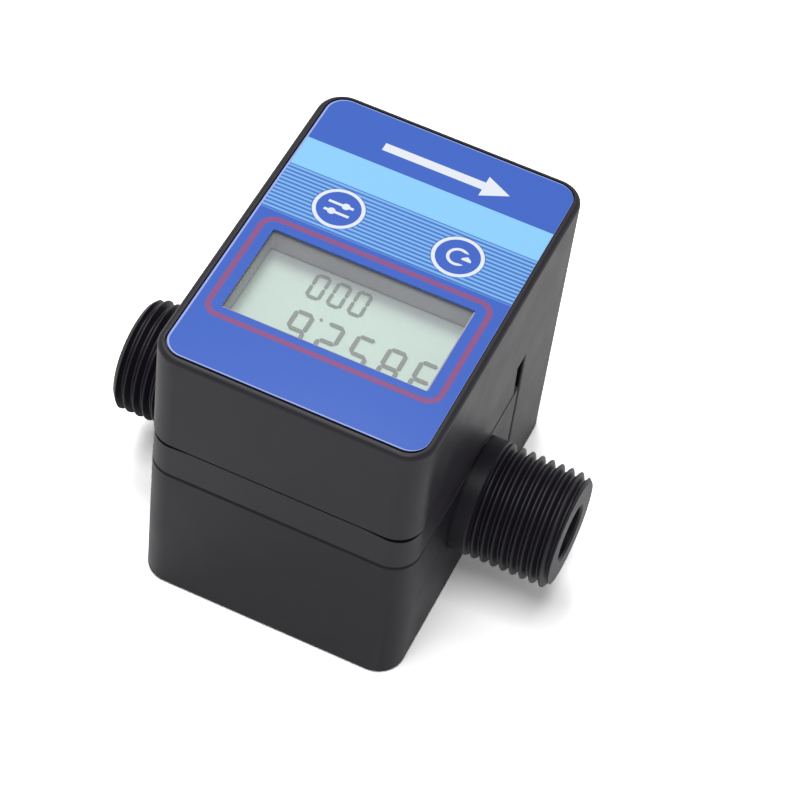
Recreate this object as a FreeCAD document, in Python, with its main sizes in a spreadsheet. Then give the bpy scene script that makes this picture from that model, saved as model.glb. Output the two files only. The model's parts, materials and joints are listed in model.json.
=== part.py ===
import FreeCAD, Part
import math
import os
import Sketcher
from FreeCAD import Vector

# Gear flow meter: a moulded gear body with two pipe spuds, a lid over its gear chamber, and a display
# cover whose rear leg holds the battery cells. Millimetres, +Z up, +X the way the liquid flows,
# -Y the front. The origin is on the underside, in the middle of the housing.

DIMENSIONS = {
    # Housing
    "body_width": 49.0,
    "body_depth": 68.0,
    "overall_height": 60.0,
    "corner_radius": 5.0,
    "top_round": 0.9,
    "base_round": 0.6,
    "joint_corner_radius": 0.6,
    "seam_chamfer": 0.4,
    "gear_body_height": 30.4,
    "lid_height": 8.0,
    "lid_draft": 1.2,
    "lid_corner_radius": 1.2,
    "lid_shadow_gap": 0.5,
    "leg_depth": 21.1,
    "leg_gap": 0.4,
    "notch_width": 2.0,
    # Pipe spuds
    "port_offset": -5.0,
    "port_height": 20.2,
    "port_bore": 10.0,
    "thread_major": 20.955,
    "thread_chamfer": 1.0,
    "spud_root": 1.0,
    "spud_root_diameter": 18.6,
    "shank_diameter": 20.5,
    "shank_length": 3.35,
    "inlet_length": 15.8,
    "outlet_length": 18.5,
    # Gears
    "gear_module": 1.1,
    "gear_teeth": 12,
    "pressure_angle": 25.0,
    "tooth_thinning": 0.12,
    "root_clearance": 0.25,
    "gear_height": 13.4,
    "gear_end_gap": 0.15,
    "gear_tip_gap": 0.2,
    "shaft_diameter": 4.0,
    "shaft_running_gap": 0.05,
    "shaft_chamfer": 0.3,
    "shaft_floor_seat": 5.0,
    "shaft_lid_seat": 3.0,
    "magnet_rim": 0.825,
    "magnet_hub": 0.75,
    "magnet_height": 3.0,
    # Lid spigot, seal and sensor pocket
    "spigot_land": 1.0,
    "spigot_gap": 0.05,
    "seal_section": 1.6,
    "sensor_offset": 5.0,
    "sensor_pocket_length": 4.6,
    "sensor_pocket_width": 4.0,
    "sensor_pocket_wall": 2.5,
    "sensor_board_width": 4.0,
    "sensor_board_thickness": 1.0,
    "hall_width": 2.8,
    "hall_thickness": 1.4,
    "hall_height": 3.0,
    "sensor_gap": 0.2,
    # Display cover
    "cover_wall": 2.2,
    "roof_thickness": 2.4,
    "partition_wall": 2.0,
    "label_recess": 0.6,
    "label_gap": 0.15,
    "rim_sides": 1.25,
    "rim_ends": 0.95,
    "label_thickness": 0.4,
    "label_corner": 3.7,
    "window_width": 36.8,
    "window_depth": 19.4,
    "window_centre": -10.1,
    "window_corner": 0.4,
    # Keys
    "key_spacing": 21.9,
    "key_centre": 8.95,
    "key_diameter": 9.0,
    "key_gap": 0.15,
    "key_travel": 0.3,
    "key_well_margin": 0.5,
    "key_well_depth": 0.7,
    "stem_diameter": 6.0,
    "stem_gap": 0.15,
    # Display
    "pane_thickness": 1.0,
    "pane_margin": 2.0,
    "pane_gap": 0.1,
    "lcd_margin": 2.4,
    "lcd_thickness": 2.8,
    "lcd_contact_ledge": 0.8,
    "lcd_gap": 0.2,
    "lcd_frame_wall": 1.0,
    "lcd_frame_flange": 0.8,
    "lcd_frame_headroom": 1.4,
    "collar_wall": 0.9,
    "collar_step": 0.15,
    "collar_gap": 0.15,
    "zebra_width": 2.0,
    "zebra_inset": 2.2,
    # Circuit board
    "board_thickness": 1.6,
    "board_gap": 0.4,
    "board_corner": 1.5,
    "chip_size": 10.0,
    "chip_height": 1.5,
    "switch_size": 6.2,
    "switch_height": 3.6,
    "plunger_diameter": 3.4,
    "plunger_rise": 1.0,
    "plunger_sink": 0.8,
    "plunger_gap": 0.1,
    # Board screws and assembly screws
    "screw_inset": 5.5,
    "board_screw_diameter": 2.0,
    "board_screw_length": 6.0,
    "board_screw_head": 3.8,
    "board_screw_head_height": 1.3,
    "board_hole_gap": 0.2,
    "board_boss": 4.8,
    "board_screw_back_inset": 2.6,
    "assembly_screw_diameter": 3.0,
    "assembly_screw_length": 40.0,
    "assembly_screw_head": 5.5,
    "assembly_screw_head_height": 2.4,
    "assembly_hole_gap": 0.4,
    "counterbore_diameter": 6.2,
    "counterbore_depth": 4.5,
    "assembly_boss": 6.4,
    "assembly_boss_height": 6.8,
    "assembly_back_inset": 5.4,
    # Battery compartment
    "cell_diameter": 10.5,
    "cell_length": 44.5,
    "cell_gap": 0.7,
    "cell_button_diameter": 3.8,
    "cell_button_height": 0.9,
    "compartment_width": 39.0,
    "compartment_floor": 3.2,
    "contact_height": 1.0,
    "strip_thickness": 0.4,
    "strip_width": 4.0,
    "strip_inset": 3.25,
    "strip_reach": 3.0,
    "strip_gap": 0.1,
    "contact_diameter": 5.0,
    "door_margin": 1.6,
    "door_head": 5.6,
    "door_thickness": 2.0,
    "door_gap": 0.15,
    "door_corner": 2.0,
    "door_edge_round": 0.4,
    "door_seal_width": 1.2,
    "door_seal_thickness": 0.5,
    "door_screw_spacing": 28.0,
    "door_screw_diameter": 2.0,
    "door_screw_length": 7.0,
    "door_screw_head": 3.5,
    "door_screw_head_height": 1.2,
    "door_screw_sink": 0.2,
}

doc = FreeCAD.newDocument("gear_flow_meter")
sheet = doc.addObject("Spreadsheet::Sheet", "Dims")
for row, (alias, value) in enumerate(DIMENSIONS.items(), start=1):
    sheet.set(f"A{row}", alias)
    sheet.set(f"B{row}", str(value))
    sheet.setAlias(f"B{row}", alias)
doc.recompute()

# Places that more than one piece is cut to, as expressions on the sheet
ORIGIN = "0"
HALF_WIDTH = "Dims.body_width / 2"
FRONT = "-Dims.body_depth / 2"
BACK = "Dims.body_depth / 2"
LEG_FRONT = "(Dims.body_depth / 2 - Dims.leg_depth)"
BODY_BACK = f"({LEG_FRONT} - Dims.leg_gap)"
LID_BACK = f"({LEG_FRONT} - Dims.notch_width)"
BODY_TOP = "Dims.gear_body_height"
LID_TOP = "(Dims.gear_body_height + Dims.lid_height)"
TOP = "Dims.overall_height"
LABEL_SEAT = "(Dims.overall_height - Dims.label_recess)"
ROOF = f"({LABEL_SEAT} - Dims.roof_thickness)"
CAVITY_HALF = "(Dims.body_width / 2 - Dims.cover_wall)"
CAVITY_FRONT = "(Dims.cover_wall - Dims.body_depth / 2)"

PITCH_DIAMETER = "(Dims.gear_module * Dims.gear_teeth)"
TIP_DIAMETER = "(Dims.gear_module * (Dims.gear_teeth + 2))"
ROOT_DIAMETER = "(Dims.gear_module * (Dims.gear_teeth - 2 - 2 * Dims.root_clearance))"
GEAR_BORE = "(Dims.shaft_diameter + 2 * Dims.shaft_running_gap)"
MAGNET_OUTER = f"({ROOT_DIAMETER} - 2 * Dims.magnet_rim)"
MAGNET_INNER = f"({GEAR_BORE} + 2 * Dims.magnet_hub)"
CHAMBER_DIAMETER = f"({TIP_DIAMETER} + 2 * Dims.gear_tip_gap)"
SENSING_Y = f"(Dims.port_offset + {PITCH_DIAMETER} / 2)"
IDLER_Y = f"(Dims.port_offset - {PITCH_DIAMETER} / 2)"
SHAFT_SPOTS = [(ORIGIN, SENSING_Y), (ORIGIN, IDLER_Y)]
GEAR_FLOOR = "(Dims.port_height - Dims.gear_height / 2)"
CHAMBER_FLOOR = f"({GEAR_FLOOR} - Dims.gear_end_gap)"
CHAMBER_TOP = "(Dims.port_height + Dims.gear_height / 2 + Dims.gear_end_gap)"
SPIGOT_BORE = f"({CHAMBER_DIAMETER} + 2 * Dims.spigot_land)"
SEAL_LEVEL = f"(({CHAMBER_TOP} + {BODY_TOP}) / 2)"
SENSOR_FLOOR = f"({CHAMBER_TOP} + Dims.sensor_pocket_wall)"

COMPARTMENT_BACK = f"({BACK} - Dims.door_thickness - Dims.door_seal_thickness)"
COMPARTMENT_FRONT = f"({LEG_FRONT} + Dims.partition_wall)"
COMPARTMENT_TOP = "(Dims.compartment_floor + 2 * Dims.contact_height + Dims.cell_length)"
CELL_Y = f"(({COMPARTMENT_FRONT} + {COMPARTMENT_BACK}) / 2)"
CELL_OFFSET = "(Dims.cell_diameter + Dims.cell_gap) / 2"
STRIP_OFFSET = "((Dims.cell_gap + Dims.strip_width) / 2 + Dims.strip_inset)"
CELL_FLOOR = "(Dims.compartment_floor + Dims.contact_height)"

BOARD_TOP = f"({COMPARTMENT_TOP} - Dims.strip_thickness)"
BOARD_FLOOR = f"({BOARD_TOP} - Dims.board_thickness)"
BOARD_BACK = f"({LEG_FRONT} - Dims.board_gap)"
PANE_FLOOR = f"({LABEL_SEAT} - Dims.pane_thickness)"
FRAME_TOP = f"({ROOF} - Dims.lcd_frame_headroom)"
LCD_TOP = f"({FRAME_TOP} - Dims.lcd_frame_flange)"
LCD_FLOOR = f"({LCD_TOP} - Dims.lcd_thickness)"
SWITCH_TOP = f"({BOARD_TOP} + Dims.switch_height)"
PLUNGER_TOP = f"({SWITCH_TOP} + Dims.plunger_rise)"
KEY_X = {"reset": "Dims.key_spacing / 2", "calibrate": "-Dims.key_spacing / 2"}

SCREW_X = f"({HALF_WIDTH} - Dims.screw_inset)"
SCREW_FRONT = f"({FRONT} + Dims.screw_inset)"
ASSEMBLY_SPOTS = [(side + SCREW_X, y) for side in ("", "-")
                  for y in (SCREW_FRONT, f"({BODY_BACK} - Dims.assembly_back_inset)")]
ASSEMBLY_HOLE = "(Dims.assembly_screw_diameter + Dims.assembly_hole_gap)"
BOARD_SPOTS = [(side + SCREW_X, y) for side in ("", "-")
               for y in (SCREW_FRONT, f"({LEG_FRONT} - Dims.board_screw_back_inset)")]
DOOR_TOP = f"({COMPARTMENT_TOP} + Dims.door_head)"
DOOR_BOTTOM = "(Dims.compartment_floor - Dims.door_margin)"
DOOR_HALF = "(Dims.compartment_width / 2 + Dims.door_margin)"
DOOR_SCREW_Z = f"({COMPARTMENT_TOP} + (Dims.door_seal_width + Dims.door_head) / 2)"
DOOR_SPOTS = [(side + "Dims.door_screw_spacing / 2", DOOR_SCREW_Z) for side in ("", "-")]


def size(expression):
    """The value of an expression on the sheet."""
    return float(sheet.evalExpression(expression))


def drive(sketch, constraint, expression):
    """Add a constraint and bind its value to the sheet."""
    index = sketch.addConstraint(constraint)
    sketch.setExpression(f"Constraints[{index}]", expression)


def pin_point(sketch, element, end, x, y):
    """Hold one point of a sketch element at x, y."""
    drive(sketch, Sketcher.Constraint("DistanceX", -1, 1, element, end, size(x)), x)
    drive(sketch, Sketcher.Constraint("DistanceY", -1, 1, element, end, size(y)), y)


def circle(x, y, diameter):
    """Drawing function: a circle."""
    def draw(sketch):
        centre = Vector(size(x), size(y), 0)
        ring = sketch.addGeometry(Part.Circle(centre, Vector(0, 0, 1), size(diameter) / 2), False)
        drive(sketch, Sketcher.Constraint("Diameter", ring, size(diameter)), diameter)
        pin_point(sketch, ring, 3, x, y)
    return draw


def circles(spots, diameter):
    """Drawing functions: one circle at each spot."""
    return [circle(x, y, diameter) for x, y in spots]


def polygon(corners):
    """Drawing function: a closed outline of straight lines through the corners."""
    def draw(sketch):
        points = [Vector(size(x), size(y), 0) for x, y in corners]
        lines = [sketch.addGeometry(Part.LineSegment(start, end), False)
                 for start, end in zip(points, points[1:] + points[:1])]
        for line, following, (x, y) in zip(lines, lines[1:] + lines[:1], corners):
            sketch.addConstraint(Sketcher.Constraint("Coincident", line, 2, following, 1))
            pin_point(sketch, line, 1, x, y)
    return draw


def rectangle(left, right, low, high):
    """Drawing function: a rectangle with sharp corners."""
    return polygon([(left, low), (right, low), (right, high), (left, high)])


def rounded(left, right, low, high, low_radius, high_radius=None):
    """Drawing function: a rectangle with one radius at its low corners and one at its high corners."""
    radii = [low_radius, low_radius, high_radius or low_radius, high_radius or low_radius]

    def draw(sketch):
        x0, x1, y0, y1 = (size(edge) for edge in (left, right, low, high))
        corners = [(x0, y0, 1, 1), (x1, y0, -1, 1), (x1, y1, -1, -1), (x0, y1, 1, -1)]
        centres = [Vector(x + in_x * size(radius), y + in_y * size(radius), 0)
                   for (x, y, in_x, in_y), radius in zip(corners, radii)]
        arcs = []
        for quarter, (centre, radius) in enumerate(zip(centres, radii)):
            start = math.pi + quarter * math.pi / 2
            ring = Part.Circle(centre, Vector(0, 0, 1), size(radius))
            arcs.append(sketch.addGeometry(Part.ArcOfCircle(ring, start, start + math.pi / 2), False))
            drive(sketch, Sketcher.Constraint("Radius", arcs[-1], size(radius)), radius)
        sides = []
        for corner, direction in enumerate(("Horizontal", "Vertical", "Horizontal", "Vertical")):
            following = (corner + 1) % 4
            start = sketch.getPoint(arcs[corner], 2)
            end = sketch.getPoint(arcs[following], 1)
            sides.append(sketch.addGeometry(Part.LineSegment(start, end), False))
            sketch.addConstraint(Sketcher.Constraint("Tangent", arcs[corner], 2, sides[-1], 1))
            sketch.addConstraint(Sketcher.Constraint("Tangent", sides[-1], 2, arcs[following], 1))
            sketch.addConstraint(Sketcher.Constraint(direction, sides[-1]))
        drive(sketch, Sketcher.Constraint("DistanceY", -1, 1, sides[0], 1, y0), low)
        drive(sketch, Sketcher.Constraint("DistanceX", -1, 1, sides[1], 1, x1), right)
        drive(sketch, Sketcher.Constraint("DistanceY", -1, 1, sides[2], 1, y1), high)
        drive(sketch, Sketcher.Constraint("DistanceX", -1, 1, sides[3], 1, x0), left)
    return draw


def stadium(low, high, diameter):
    """Drawing function: two half circles centred on the Y axis at low and high, joined by straight sides."""
    def draw(sketch):
        radius = size(diameter) / 2
        ends = []
        for centre_y, start in ((high, 0.0), (low, math.pi)):
            ring = Part.Circle(Vector(0, size(centre_y), 0), Vector(0, 0, 1), radius)
            ends.append(sketch.addGeometry(Part.ArcOfCircle(ring, start, start + math.pi), False))
            pin_point(sketch, ends[-1], 3, ORIGIN, centre_y)
        drive(sketch, Sketcher.Constraint("Diameter", ends[0], 2 * radius), diameter)
        sketch.addConstraint(Sketcher.Constraint("Equal", ends[0], ends[1]))
        for first, second in ((0, 1), (1, 0)):
            start = sketch.getPoint(ends[first], 2)
            end = sketch.getPoint(ends[second], 1)
            side = sketch.addGeometry(Part.LineSegment(start, end), False)
            sketch.addConstraint(Sketcher.Constraint("Tangent", ends[first], 2, side, 1))
            sketch.addConstraint(Sketcher.Constraint("Tangent", side, 2, ends[second], 1))
    return draw


def new_body(label):
    """A body whose label names its node."""
    return doc.addObject("PartDesign::Body", label)


def sketch_on(body, name, role, level, *drawings):
    """A sketch on one of the body's own origin planes, raised along the plane's normal."""
    plane = next(item for item in body.Origin.OriginFeatures if item.Role == role)
    sketch = body.newObject("Sketcher::SketchObject", name)
    sketch.AttachmentSupport = (plane, "")
    sketch.MapMode = "FlatFace"
    sketch.setExpression("AttachmentOffset.Base.z", level)
    for draw in drawings:
        draw(sketch)
    return sketch


def extrude(kind, body, name, level, length, drawings, flipped=False, role="XY_Plane"):
    """A pad or pocket of the drawings. A pad goes along the plane's normal and a pocket against it."""
    sketch = sketch_on(body, f"{body.Label}_{name}_sketch", role, level, *drawings)
    feature = body.newObject(f"PartDesign::{kind}", f"{body.Label}_{name}")
    feature.Profile = sketch
    feature.setExpression("Length", length)
    feature.Reversed = flipped
    return feature


def pad(body, name, level, length, *drawings, **settings):
    return extrude("Pad", body, name, level, length, drawings, **settings)


def pocket(body, name, level, length, *drawings, **settings):
    return extrude("Pocket", body, name, level, length, drawings, **settings)


def edges_at(feature, axis, level):
    """Names of the feature's edges that lie in the plane at one level along an axis."""
    doc.recompute()
    place = size(level)
    names = []
    for number, edge in enumerate(feature.Shape.Edges, start=1):
        ends = (getattr(edge.BoundBox, axis + "Min"), getattr(edge.BoundBox, axis + "Max"))
        if max(abs(end - place) for end in ends) < 1e-4:
            names.append(f"Edge{number}")
    return names


def dress(kind, body, name, feature, edge_names, setting, expression):
    """A fillet or chamfer on named edges of a feature."""
    dressing = body.newObject(f"PartDesign::{kind}", f"{body.Label}_{name}")
    dressing.Base = (feature, edge_names)
    dressing.setExpression(setting, expression)
    return dressing


def round_edges(body, name, feature, level, radius, axis="Z"):
    return dress("Fillet", body, name, feature, edges_at(feature, axis, level), "Radius", radius)


def chamfer_edges(body, name, feature, level, width, axis="Z"):
    return dress("Chamfer", body, name, feature, edges_at(feature, axis, level), "Size", width)


def cylinder(name, x, y, z, diameter, height):
    """An upright round bar standing at x, y, z."""
    bar = doc.addObject("Part::Cylinder", name)
    bar.setExpression("Radius", f"({diameter}) / 2")
    bar.setExpression("Height", height)
    for axis, place in zip("xyz", (x, y, z)):
        bar.setExpression(f"Placement.Base.{axis}", place)
    return bar


def block(name, left, right, front, back, floor, top):
    """A plain box between six planes."""
    box = doc.addObject("Part::Box", name)
    for setting, low, high in (("Length", left, right), ("Width", front, back), ("Height", floor, top)):
        box.setExpression(setting, f"({high}) - ({low})")
    for axis, place in zip("xyz", (left, front, floor)):
        box.setExpression(f"Placement.Base.{axis}", place)
    return box


def joined(name, *pieces):
    """One solid from pieces that meet."""
    union = doc.addObject("Part::MultiFuse", name)
    union.Shapes = list(pieces)
    return union


def cut(name, base, tool):
    """A base with a tool's shape taken out of it."""
    result = doc.addObject("Part::Cut", name)
    result.Base = base
    result.Tool = tool
    return result


def group(label, members):
    """A node of separate solids."""
    compound = doc.addObject("Part::Compound", label)
    compound.Links = members
    return compound


def across(half):
    """The two ends of a width centred on the middle plane."""
    return f"-({half})", f"({half})"


# Gear body

def make_spud(body, name, direction, length):
    """A pipe spud, turned about the flow axis: root in the wall, shank, thread blank and lead-in chamfer."""
    face = f"{direction} * {HALF_WIDTH}"
    end = f"{direction} * ({HALF_WIDTH} + {length})"
    chamfer_start = f"{direction} * ({HALF_WIDTH} + {length} - Dims.thread_chamfer)"
    inside = f"{direction} * ({HALF_WIDTH} - Dims.spud_root)"
    axis_line = ORIGIN
    shank_end = f"{direction} * ({HALF_WIDTH} + Dims.shank_length)"
    rise = "(Dims.thread_major - Dims.shank_diameter) / 2"
    crest_start = f"{direction} * ({HALF_WIDTH} + Dims.shank_length + {rise})"
    crest = "Dims.thread_major / 2"
    shank = "Dims.shank_diameter / 2"
    root = "Dims.spud_root_diameter / 2"
    profile = polygon([(inside, axis_line), (end, axis_line), (end, f"({crest} - Dims.thread_chamfer)"),
                       (chamfer_start, crest), (crest_start, crest), (shank_end, shank), (face, shank),
                       (face, root), (inside, root)])
    sketch = sketch_on(body, f"{name}_sketch", "XZ_Plane", "-Dims.port_offset", profile)
    sketch.setExpression("AttachmentOffset.Base.y", "Dims.port_height")
    spud = body.newObject("PartDesign::Revolution", name)
    spud.Profile = sketch
    spud.ReferenceAxis = (sketch, ["H_Axis"])
    spud.Angle = 360.0


gear_body = new_body("gear_body")
block_pad = pad(gear_body, "block", ORIGIN, BODY_TOP,
                rounded(*across(HALF_WIDTH), FRONT, BODY_BACK,
                        "Dims.corner_radius", "Dims.joint_corner_radius"))
base_fillet = round_edges(gear_body, "base_round", block_pad, ORIGIN, "Dims.base_round")
chamfer_edges(gear_body, "seam_chamfer", base_fillet, BODY_TOP, "Dims.seam_chamfer")
make_spud(gear_body, "inlet_spud", "-1", "Dims.inlet_length")
make_spud(gear_body, "outlet_spud", "1", "Dims.outlet_length")
pocket(gear_body, "flow_bore", f"{HALF_WIDTH} + Dims.outlet_length",
       "Dims.body_width + Dims.inlet_length + Dims.outlet_length",
       circle("Dims.port_offset", "Dims.port_height", "Dims.port_bore"), role="YZ_Plane")
for gear_name, gear_y in (("sensing", SENSING_Y), ("idler", IDLER_Y)):
    pocket(gear_body, f"{gear_name}_chamber", BODY_TOP, f"{BODY_TOP} - {CHAMBER_FLOOR}",
           circle(ORIGIN, gear_y, CHAMBER_DIAMETER))
pocket(gear_body, "spigot_seat", BODY_TOP, f"{BODY_TOP} - {CHAMBER_TOP}",
       stadium(IDLER_Y, SENSING_Y, SPIGOT_BORE))
pocket(gear_body, "shaft_seats", CHAMBER_FLOOR, "Dims.shaft_floor_seat",
       *circles(SHAFT_SPOTS, "Dims.shaft_diameter"))
pocket(gear_body, "screw_holes", ORIGIN, BODY_TOP,
       *circles(ASSEMBLY_SPOTS, ASSEMBLY_HOLE), flipped=True)
pocket(gear_body, "counterbores", ORIGIN, "Dims.counterbore_depth",
       *circles(ASSEMBLY_SPOTS, "Dims.counterbore_diameter"), flipped=True)


# Chamber lid

chamber_lid = new_body("chamber_lid")
plate = pad(chamber_lid, "plate", BODY_TOP, "Dims.lid_height",
            rounded(*across(HALF_WIDTH), FRONT, LID_BACK, "Dims.corner_radius", "Dims.lid_corner_radius"))
plate.setExpression("TaperAngle", "-Dims.lid_draft")
chamfer_edges(chamber_lid, "seam_chamfer", plate, BODY_TOP, "Dims.seam_chamfer")
SPIGOT_DIAMETER = f"({SPIGOT_BORE} - 2 * Dims.spigot_gap)"
pad(chamber_lid, "spigot", BODY_TOP, f"{BODY_TOP} - {CHAMBER_TOP}",
    stadium(IDLER_Y, SENSING_Y, SPIGOT_DIAMETER), flipped=True)
pocket(chamber_lid, "seal_groove", f"{SEAL_LEVEL} + Dims.seal_section / 2", "Dims.seal_section",
       stadium(IDLER_Y, SENSING_Y, f"({SPIGOT_BORE} + 2 * Dims.spigot_gap)"),
       stadium(IDLER_Y, SENSING_Y, f"({SPIGOT_BORE} - 2 * Dims.seal_section)"))
pocket(chamber_lid, "shaft_seats", CHAMBER_TOP, "Dims.shaft_lid_seat",
       *circles(SHAFT_SPOTS, "Dims.shaft_diameter"), flipped=True)
pocket(chamber_lid, "sensor_pocket", LID_TOP, f"{LID_TOP} - {SENSOR_FLOOR}",
       rectangle("Dims.sensor_offset - Dims.sensor_pocket_length / 2",
                 "Dims.sensor_offset + Dims.sensor_pocket_length / 2",
                 f"{SENSING_Y} - Dims.sensor_pocket_width / 2",
                 f"{SENSING_Y} + Dims.sensor_pocket_width / 2"))
pocket(chamber_lid, "screw_holes", LID_TOP, "Dims.lid_height", *circles(ASSEMBLY_SPOTS, ASSEMBLY_HOLE))
pocket(chamber_lid, "shadow_gap", LID_TOP, "Dims.lid_shadow_gap",
       rectangle(*across("Dims.body_width"), FRONT, f"{FRONT} + Dims.corner_radius"))

# Lid seal

lid_seal = new_body("lid_seal")
SEAL_PATH = f"({SPIGOT_BORE} - Dims.seal_section)"
seal_path = sketch_on(lid_seal, "seal_path", "XY_Plane", SEAL_LEVEL, stadium(IDLER_Y, SENSING_Y, SEAL_PATH))
seal_section = sketch_on(lid_seal, "seal_section", "XZ_Plane", "-Dims.port_offset",
                         circle(f"{SEAL_PATH} / 2", SEAL_LEVEL, "Dims.seal_section"))
seal_ring = lid_seal.newObject("PartDesign::AdditivePipe", "lid_seal_ring")
seal_ring.Profile = seal_section
seal_ring.Spine = seal_path

# Gears, shafts and magnet

FLANK_POINTS = 6
SPACE_REACH = 1.5


def involute(angle):
    """The angle that an involute has turned through where its pressure angle is the given one."""
    return math.tan(angle) - angle


def tooth_space(middle):
    """Drawing function: the space between two teeth, with involute flanks above the base circle
    and radial ones below it, centred on the angle middle."""
    def draw(sketch):
        module = size("Dims.gear_module")
        pitch = size(PITCH_DIAMETER) / 2
        pressure = math.radians(size("Dims.pressure_angle"))
        base = pitch * math.cos(pressure)
        root = size(ROOT_DIAMETER) / 2
        reach = pitch + module * SPACE_REACH
        half_space = math.pi / 2 / size("Dims.gear_teeth") + size("Dims.tooth_thinning") / 2 / pitch
        half_at_base = half_space - involute(pressure)

        def point(radius, angle):
            return Vector(radius * math.cos(middle + angle), radius * math.sin(middle + angle), 0)

        def flank(side):
            radii = [base + (reach - base) * step / (FLANK_POINTS - 1) for step in range(FLANK_POINTS)]
            curve = Part.BSplineCurve()
            curve.interpolate([point(radius, side * (half_at_base + involute(math.acos(base / radius))))
                               for radius in radii])
            return curve

        left = flank(-1)
        right = flank(1)
        root_left = point(root, -half_at_base)
        root_right = point(root, half_at_base)
        sketch.addGeometry([
            Part.LineSegment(root_left, left.StartPoint),
            left,
            Part.LineSegment(left.EndPoint, right.EndPoint),
            right,
            Part.LineSegment(right.StartPoint, root_right),
            Part.Arc(root_left, point(root, 0), root_right)], False)
    return draw


def make_gear(label, centre_y, middle, features):
    """A spur gear on its shaft's axis, with one of its tooth spaces centred on the angle middle."""
    gear = new_body(label)
    gear.setExpression("Placement.Base.y", centre_y)
    pad(gear, "blank", GEAR_FLOOR, "Dims.gear_height", circle(ORIGIN, ORIGIN, TIP_DIAMETER))
    top = f"({GEAR_FLOOR} + Dims.gear_height)"
    pocket(gear, "bore", top, "Dims.gear_height",
           circle(ORIGIN, ORIGIN, GEAR_BORE))
    for name, depth, drawings in features:
        pocket(gear, name, top, depth, *drawings)
    space = pocket(gear, "tooth_space", top, "Dims.gear_height", tooth_space(middle))
    teeth = gear.newObject("PartDesign::PolarPattern", f"{label}_teeth")
    teeth.Originals = [space]
    teeth.Axis = (space.Profile[0], ["N_Axis"])
    teeth.Angle = 360.0
    teeth.setExpression("Occurrences", "Dims.gear_teeth")
    gear.Tip = teeth
    return gear


MAGNET_RING = [circle(ORIGIN, ORIGIN, diameter) for diameter in (MAGNET_OUTER, MAGNET_INNER)]
HALF_TOOTH = math.pi / size("Dims.gear_teeth")
sensing_gear = make_gear("sensing_gear", SENSING_Y, -math.pi / 2,
                         [("magnet_seat", "Dims.magnet_height", MAGNET_RING)])
idler_gear = make_gear("idler_gear", IDLER_Y, math.pi / 2 + HALF_TOOTH, [])

sensing_magnet = new_body("sensing_magnet")
sensing_magnet.setExpression("Placement.Base.y", SENSING_Y)
pad(sensing_magnet, "ring", f"{GEAR_FLOOR} + Dims.gear_height - Dims.magnet_height", "Dims.magnet_height",
    *MAGNET_RING)


def make_shaft(label, centre_y):
    """A fixed steel pin, seated in the chamber floor and in the lid."""
    shaft = new_body(label)
    foot = f"({CHAMBER_FLOOR} - Dims.shaft_floor_seat)"
    head = f"({CHAMBER_TOP} + Dims.shaft_lid_seat)"
    bar = pad(shaft, "bar", foot, f"{head} - {foot}", circle(ORIGIN, centre_y, "Dims.shaft_diameter"))
    lower = chamfer_edges(shaft, "foot_chamfer", bar, foot, "Dims.shaft_chamfer")
    chamfer_edges(shaft, "head_chamfer", lower, head, "Dims.shaft_chamfer")
    return shaft


sensing_shaft = make_shaft("sensing_shaft", SENSING_Y)
idler_shaft = make_shaft("idler_shaft", IDLER_Y)

# Sensor

SENSOR_FACE = f"({SENSING_Y} + Dims.sensor_gap)"
SENSOR_FOOT = f"({SENSOR_FLOOR} + Dims.sensor_gap)"
sensor_board = block("sensor_board", "Dims.sensor_offset - Dims.sensor_board_width / 2",
                     "Dims.sensor_offset + Dims.sensor_board_width / 2",
                     SENSOR_FACE, f"{SENSOR_FACE} + Dims.sensor_board_thickness", SENSOR_FOOT, BOARD_FLOOR)
hall_sensor = block("hall_sensor", "Dims.sensor_offset - Dims.hall_width / 2",
                    "Dims.sensor_offset + Dims.hall_width / 2",
                    f"{SENSOR_FACE} - Dims.hall_thickness", SENSOR_FACE,
                    SENSOR_FOOT, f"{SENSOR_FOOT} + Dims.hall_height")

# Display cover

WINDOW_HALF = "Dims.window_width / 2"
WINDOW_HALF_DEPTH = "Dims.window_depth / 2"
COLLAR_MARGIN = "(Dims.collar_step + Dims.collar_wall)"


def window_outline(margin, radius):
    """Drawing function: the display window's outline grown by a margin."""
    return rounded(*across(f"{WINDOW_HALF} + {margin}"),
                   f"Dims.window_centre - {WINDOW_HALF_DEPTH} - ({margin})",
                   f"Dims.window_centre + {WINDOW_HALF_DEPTH} + ({margin})", radius)


def label_outline(gap):
    """Drawing function: the label recess's outline less a gap all round."""
    return rounded(*across(f"{HALF_WIDTH} - Dims.rim_sides - {gap}"),
                   *across(f"{BACK} - Dims.rim_ends - {gap}"), f"Dims.label_corner - {gap}")


KEY_SPOTS = [(x, "Dims.key_centre") for x in KEY_X.values()]
REAR_FACE = f"-{BACK}"

display_cover = new_body("display_cover")
upper = pad(display_cover, "upper", LID_TOP, f"{TOP} - {LID_TOP}",
            rounded(*across(HALF_WIDTH), FRONT, BACK, "Dims.corner_radius"))
round_edges(display_cover, "top_round", upper, TOP, "Dims.top_round")
leg = pad(display_cover, "leg", ORIGIN, LID_TOP,
          rounded(*across(HALF_WIDTH), LEG_FRONT, BACK, "Dims.joint_corner_radius", "Dims.corner_radius"))
round_edges(display_cover, "leg_round", leg, ORIGIN, "Dims.base_round")
pocket(display_cover, "cavity", LID_TOP, f"{ROOF} - {LID_TOP}",
       rounded(*across(CAVITY_HALF), CAVITY_FRONT, LEG_FRONT, "Dims.corner_radius - Dims.cover_wall",
               "Dims.joint_corner_radius"), flipped=True)
pocket(display_cover, "label_recess", TOP, "Dims.label_recess", label_outline(ORIGIN))
pocket(display_cover, "pane_seat", LABEL_SEAT, "Dims.pane_thickness",
       window_outline("Dims.pane_margin + Dims.pane_gap", "Dims.window_corner"))
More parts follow.
